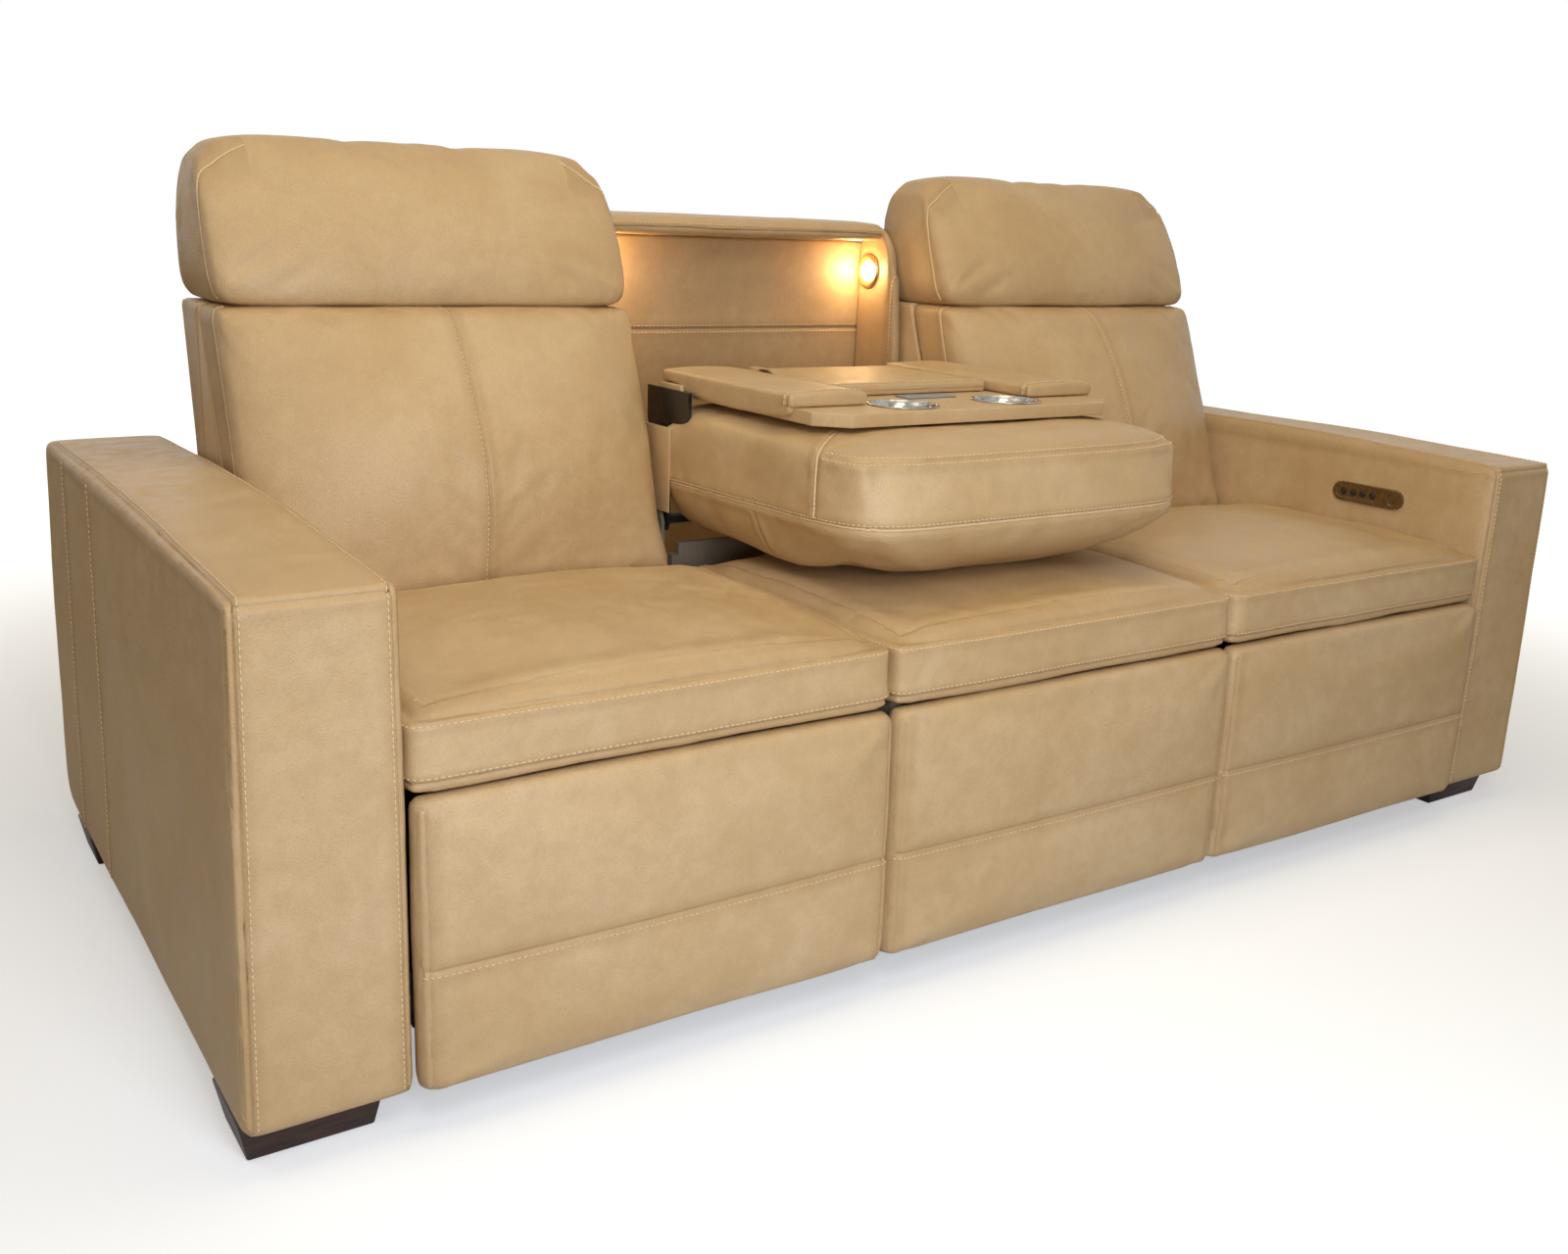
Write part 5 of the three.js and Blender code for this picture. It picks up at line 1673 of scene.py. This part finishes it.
@dataclass
class Console:
    """The middle back folded down: a deep cushion under a table with cups, bolsters and a lid.

    The cushion's welts are held while it is filled, and its sewn lines run beside them. Values
    named cap belong to the boxing round its front, roll to its rounded upper sides, under and
    fill to its underside, and side to the thin leather behind it.
    """

    welt_low: float = 588.0
    welt_high: float = 684.0
    low_line: float = 602.0
    high_line: float = 687.0
    welt_rise: float = 0.026
    front: float = 84.0
    rear: float = 600.0
    held_side: float = 40.0
    held_front: float = 144.0
    seam_side: float = 60.0
    seam_front: float = 164.0
    low_rear: float = 606.0
    high_rear: float = 194.0
    cap_depth: float = 200.0
    cap_side: float = 236.0
    cap_low: float = 604.0
    cap_turn: tuple[float, float] = (-0.62, -0.78)
    roll_rear: float = 596.0
    roll_side: float = 240.0
    roll_low: float = 640.0
    roll_passes: int = 40
    under_seam: float = 350.0
    under_high: float = 586.0
    soft_high: float = 584.0
    under_passes: int = 60
    fill_height: float = 14.0
    fill_front: float = 174.0
    fill_fade: float = 130.0
    proud: float = 2.0
    table_held: float = 221.0
    table_half: float = 286.0
    table_low: float = 690.0
    slab_edge: float = 4.0
    bolster_band: float = 11.0
    bolster_top: float = 738.0
    cover_edge: float = 0.6
    lid_band: float = 9.0
    lid_half: float = 150.0
    lid_rear: float = 640.0
    lid_top: float = 742.0
    side_face: float = 310.4
    side_thick: float = 2.4
    side_front: float = 590.0
    side_rear: float = 668.0
    side_low: float = 540.0
    side_high: float = 672.0
    side_edge: float = 0.9
    puffer: Puffer = Puffer()
    filling: EdgeFill = EdgeFill(at=46.0, spread=34.0, rise=-26.0)
    waves: tuple[Wave, ...] = (Wave(110.0, 2.6, 12.0, stretch=(1.4, 1, 1)), Wave(40.0, 0.7, 2.0))
    bolster_wave: Wave = Wave(60.0, 0.9, 6.0)
    lid_wave: Wave = Wave(70.0, 0.8, 9.0)

    def build(self, shop: Workshop) -> None:
        """Builds the console.

        Args:
            shop: Shared tools.
        """
        self.build_cushion(shop)
        self.build_table(shop)
        self.build_lid(shop)
        for side in Side:
            self.build_side(shop, side)
        shop.repaint("console_cranks", shop.finish.steel)

    def held(self, p: np.ndarray) -> np.ndarray:
        """Tells which places stay still: the welts, the rear and what lies under the table.

        Args:
            p: Places in millimetres.

        Returns:
            True for each that stays.
        """
        on_line = near_any(p[:, 2], (self.welt_low, self.welt_high))
        at_edge = (np.abs(p[:, 0]) > UNIT_HALF - self.held_side) | (p[:, 1] < depth(self.held_front))
        under_table = (p[:, 2] > self.table_low) & (p[:, 1] > depth(self.table_held)) & (
            np.abs(p[:, 0]) < self.table_half)
        return (on_line & at_edge) | under_table | (p[:, 1] > depth(self.rear))

    def below(self, p: np.ndarray) -> np.ndarray:
        """How much each point belongs to the underside, growing towards the rear."""
        under = np.clip((self.under_high - p[:, 2]) / self.fill_height, 0, 1)
        return under * np.clip((p[:, 1] - depth(self.fill_front)) / self.fill_fade, 0, 1)

    def build_cushion(self, shop: Workshop) -> None:
        """Builds the deep cushion with its two welts.

        Args:
            shop: Shared tools.
        """
        piece = from_node("console_cushion", "console_cushion_leather")
        self.puffer.fill(piece, self.held)
        soften(piece, lambda p: (p[:, 1] > depth(self.cap_depth)) & (p[:, 1] < depth(self.roll_rear)) & (
            np.abs(p[:, 0]) > self.roll_side) & (p[:, 2] > self.roll_low), self.roll_passes)
        self.filling.shape(piece, lambda p: UNIT_HALF - np.abs(p[:, 0]), self.below)
        soften(piece, lambda p: p[:, 2] < self.soft_high, self.under_passes)
        settle(piece, "console_cushion", self.waves, self.proud)
        shop.cover(piece, "console_cushion", "console", self.cushion_seams())

    def cushion_seams(self) -> list[Seam]:
        """Sewn lines of the cushion.

        Returns:
            The low welt, the stitched line round the front, the cross seam underneath and the
            piping that ends the front's boxing on both sides.
        """
        outside = lambda p: (np.abs(p[:, 0]) > UNIT_HALF - self.seam_side) | (
            p[:, 1] < depth(self.seam_front))
        low = lambda p: outside(p) & (p[:, 1] < depth(self.low_rear))
        high = lambda p: outside(p) & (p[:, 1] < depth(self.high_rear))
        under = lambda p: p[:, 2] < self.under_high
        seams = [
            Seam((0, depth(self.front), self.low_line), (0, self.welt_rise, 1), low, depth=2.6, hump=1.4,
                 rows=(5.0,), cord=2.2),
            Seam((0, 0, self.high_line), (0, 0, 1), high, depth=2.0, hump=1.0, rows=(-4.0, 4.0)),
            Seam((0, depth(self.under_seam), 0), (0, 1, 0), under, depth=2.0, rows=()),
        ]
        for sign in (-1, 1):
            beside = lambda p, sign=sign: (p[:, 0] * sign > self.cap_side) & (p[:, 2] > self.cap_low)
            across, along = self.cap_turn
            seams.append(Seam((sign * UNIT_HALF, depth(self.cap_depth), 0), (sign * across, along, 0),
                              beside, depth=2.4, rows=(), cord=2.2))
        return seams

    def build_table(self, shop: Workshop) -> None:
        """Builds the leather slab, the bolsters, the cups and the outlet cover.

        Args:
            shop: Shared tools.
        """
        slab = from_node("console_table", "console_slab_leather", levels=0)
        bevel(slab, self.slab_edge, segments=3)
        shop.cover(slab, "console_table", "console", [], angle=50)
        for side in Side:
            node = f"console_bolster_{side.word}"
            bolster = from_node(node, f"bolster_leather_{side.word}", levels=2)
            replace(self.bolster_wave, seed=self.bolster_wave.seed * side.value).shape(bolster)
            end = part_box(node)[0].y / MM + self.bolster_band
            seam = Seam((0, end, 0), (0, 1, 0), lambda p: p[:, 2] > self.bolster_top, depth=1.6, width=3.0,
                        rows=(5.0,))
            shop.cover(bolster, node, "console", [seam])
            shop.hard(f"cup_holder_{side.word}", f"steel_cup_{side.word}", "console", Slot.STAINLESS,
                      shop.finish.stainless, levels=1, angle=50)
        shop.hard("outlet_plate", "outlet_cover", "console", Slot.OUTLET, shop.finish.outlet,
                  edge=self.cover_edge)

    def build_side(self, shop: Workshop, side: Side) -> None:
        """Builds the thin leather side that covers a crank's lower leg behind the cushion.

        Args:
            shop: Shared tools.
            side: Side of the console.
        """
        clear_selection()
        middle = Vector((side.value * (self.side_face + self.side_thick / 2),
                         depth((self.side_front + self.side_rear) / 2), (self.side_low + self.side_high) / 2))
        size = Vector((self.side_thick, self.side_rear - self.side_front, self.side_high - self.side_low))
        bpy.ops.mesh.primitive_cube_add(size=1.0, location=middle * MM)
        piece = bpy.context.object
        piece.name = f"console_side_leather_{side.word}"
        bpy.ops.transform.resize(value=size * MM)
        bpy.ops.object.transform_apply(location=True, rotation=True, scale=True)
        bevel(piece, self.side_edge)
        smooth_shading(piece, SHARP)
        shop.dress(piece, "console", Slot.LEATHER, shop.finish.leather)

    def build_lid(self, shop: Workshop) -> None:
        """Builds the padded lid of the storage bin with its pull tab.

        Args:
            shop: Shared tools.
        """
        lid = from_node("console_lid", "lid_leather")
        self.lid_wave.shape(lid)
        top = lambda p: (p[:, 2] > self.lid_top) & (p[:, 1] < depth(self.lid_rear)) & (
            np.abs(p[:, 0]) < self.lid_half)
        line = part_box("console_lid")[0].y / MM + self.lid_band
        seam = Seam((0, line, 0), (0, 1, 0), top, depth=1.4, width=3.0, rows=(5.0,))
        shop.cover(lid, "console_lid", "lid", [seam])


@dataclass
class Controls:
    """Switch plate with four buttons on the inner side of an arm."""

    side: Side
    buttons: int = 4
    plate_edge: float = 0.5
    button_edge: float = 0.3

    def build(self, shop: Workshop) -> None:
        """Builds the plate and its buttons.

        Args:
            shop: Shared tools.
        """
        name = self.side.word
        shop.hard(f"switch_plate_{name}", f"switch_bezel_{name}", "root", Slot.BRONZE, shop.finish.bronze,
                  edge=self.plate_edge)
        for index in range(1, self.buttons + 1):
            node = f"button_{name}_{index}"
            shop.hard(node, f"button_cap_{name}_{index}", f"{node}_body", Slot.PLASTIC, shop.finish.plastic,
                      edge=self.button_edge)


# Studio


@dataclass(frozen=True)
class SoftLamp:
    """A large square lamp that faces the sofa, in metres and watts."""

    place: Place
    size: float
    power: float
    colour: Colour

    def build(self, name: str, aim: Vector) -> None:
        """Places the lamp.

        Args:
            name: Its name.
            aim: Point that it faces.
        """
        lamp = new_light(name, "AREA", self.power, self.colour)
        lamp.data.shape = "SQUARE"
        lamp.data.size = self.size
        turn = (aim - Vector(self.place)).to_track_quat("-Z", "Y").to_matrix().to_4x4()
        lamp.matrix_world = Matrix.Translation(self.place) @ turn


@dataclass
class Studio:
    """Pale floor, soft lamps, white surround and the camera of the photograph."""

    camera_at: Place = (-1.42808, -1.92321, 0.98300)
    yaw: float = 0.5954
    pitch: float = -0.2669
    roll: float = 0.0372
    lens: float = 34.07
    sensor: float = 36.0
    world_light: float = 0.13
    world_colour: Colour = (1.0, 0.68, 0.32)
    floor_size: float = 40.0
    floor_drop: float = 0.0005
    aim: Place = (0.0, 0.0, 0.5)
    lamps: tuple[SoftLamp, ...] = (
        SoftLamp((-0.9, -2.3, 1.0), 0.8, 20.5, (0.97, 1.0, 1.05)),
        SoftLamp((-1.3, -2.3, 2.4), 1.1, 22.0, (1.0, 0.98, 0.97)),
        SoftLamp((-2.2, -0.3, 2.6), 1.4, 10.0, (1.0, 0.86, 0.62)),
        SoftLamp((0.0, -0.5, 3.0), 1.8, 22.0, (1.0, 0.83, 0.48)),
    )

    def build(self) -> None:
        """Builds the whole studio."""
        self.build_camera()
        for index, lamp in enumerate(self.lamps):
            lamp.build(f"soft_lamp_{index}", Vector(self.aim))
        self.build_floor()
        self.build_surround()
        bpy.context.scene.view_settings.view_transform = "Standard"

    def build_camera(self) -> None:
        """Places the camera as the photograph was taken."""
        forward = Vector((math.sin(self.yaw) * math.cos(self.pitch),
                          math.cos(self.yaw) * math.cos(self.pitch), math.sin(self.pitch)))
        level = Vector((math.cos(self.yaw), -math.sin(self.yaw), 0.0))
        upright = level.cross(forward)
        right = level * math.cos(self.roll) + upright * math.sin(self.roll)
        up = upright * math.cos(self.roll) - level * math.sin(self.roll)
        data = bpy.data.cameras.new("camera")
        data.sensor_width = self.sensor
        data.lens = self.lens
        data.clip_start, data.clip_end = 0.05, 60.0
        camera = new_object("camera", data)
        turn = Matrix((right, up, -forward)).transposed().to_4x4()
        camera.matrix_world = Matrix.Translation(self.camera_at) @ turn
        bpy.context.scene.camera = camera

    def build_floor(self) -> None:
        """Makes the pale floor."""
        clear_selection()
        bpy.ops.mesh.primitive_plane_add(size=self.floor_size, location=(0, 0, -self.floor_drop))
        floor = bpy.context.object
        floor.name = "studio_floor"
        bpy.ops.object.transform_apply(location=True, rotation=True, scale=True)
        floor.data.materials.append(PaleFloor().build())

    def build_surround(self) -> None:
        """Makes the surround: white to the eye and in reflections, dim and warm as light."""
        world = bpy.context.scene.world or bpy.data.worlds.new("surround")
        bpy.context.scene.world = world
        world.use_nodes = True
        nodes = NodeTree(world.node_tree)
        background = next(n for n in world.node_tree.nodes if n.type == "BACKGROUND")
        rays = nodes.add("ShaderNodeLightPath").outputs
        seen = nodes.maths("MAXIMUM", rays["Is Camera Ray"],
                           nodes.maths("MAXIMUM", rays["Is Glossy Ray"], rays["Is Transmission Ray"]))
        nodes.put(background, "Strength", nodes.ramp(seen, 0.0, 1.0, self.world_light, 1.0))
        nodes.put(background, "Color", nodes.mix(seen, rgba(self.world_colour), WHITE))


def main() -> None:
    """Builds the sofa in order."""
    logging.basicConfig(level=logging.INFO, format="%(name)s: %(message)s")
    Studio().build()
    shop = Workshop()
    for side in Side:
        Arm(side).build(shop)
        Controls(side).build(shop)
        Recliner.at(side).build(shop)
    SeatUnit("centre", 0.0, "centre_seat_cushion", "centre_front_panel", "root", "root").build(shop)
    Niche().build(shop)
    Console().build(shop)


if __name__ == "__main__":
    main()
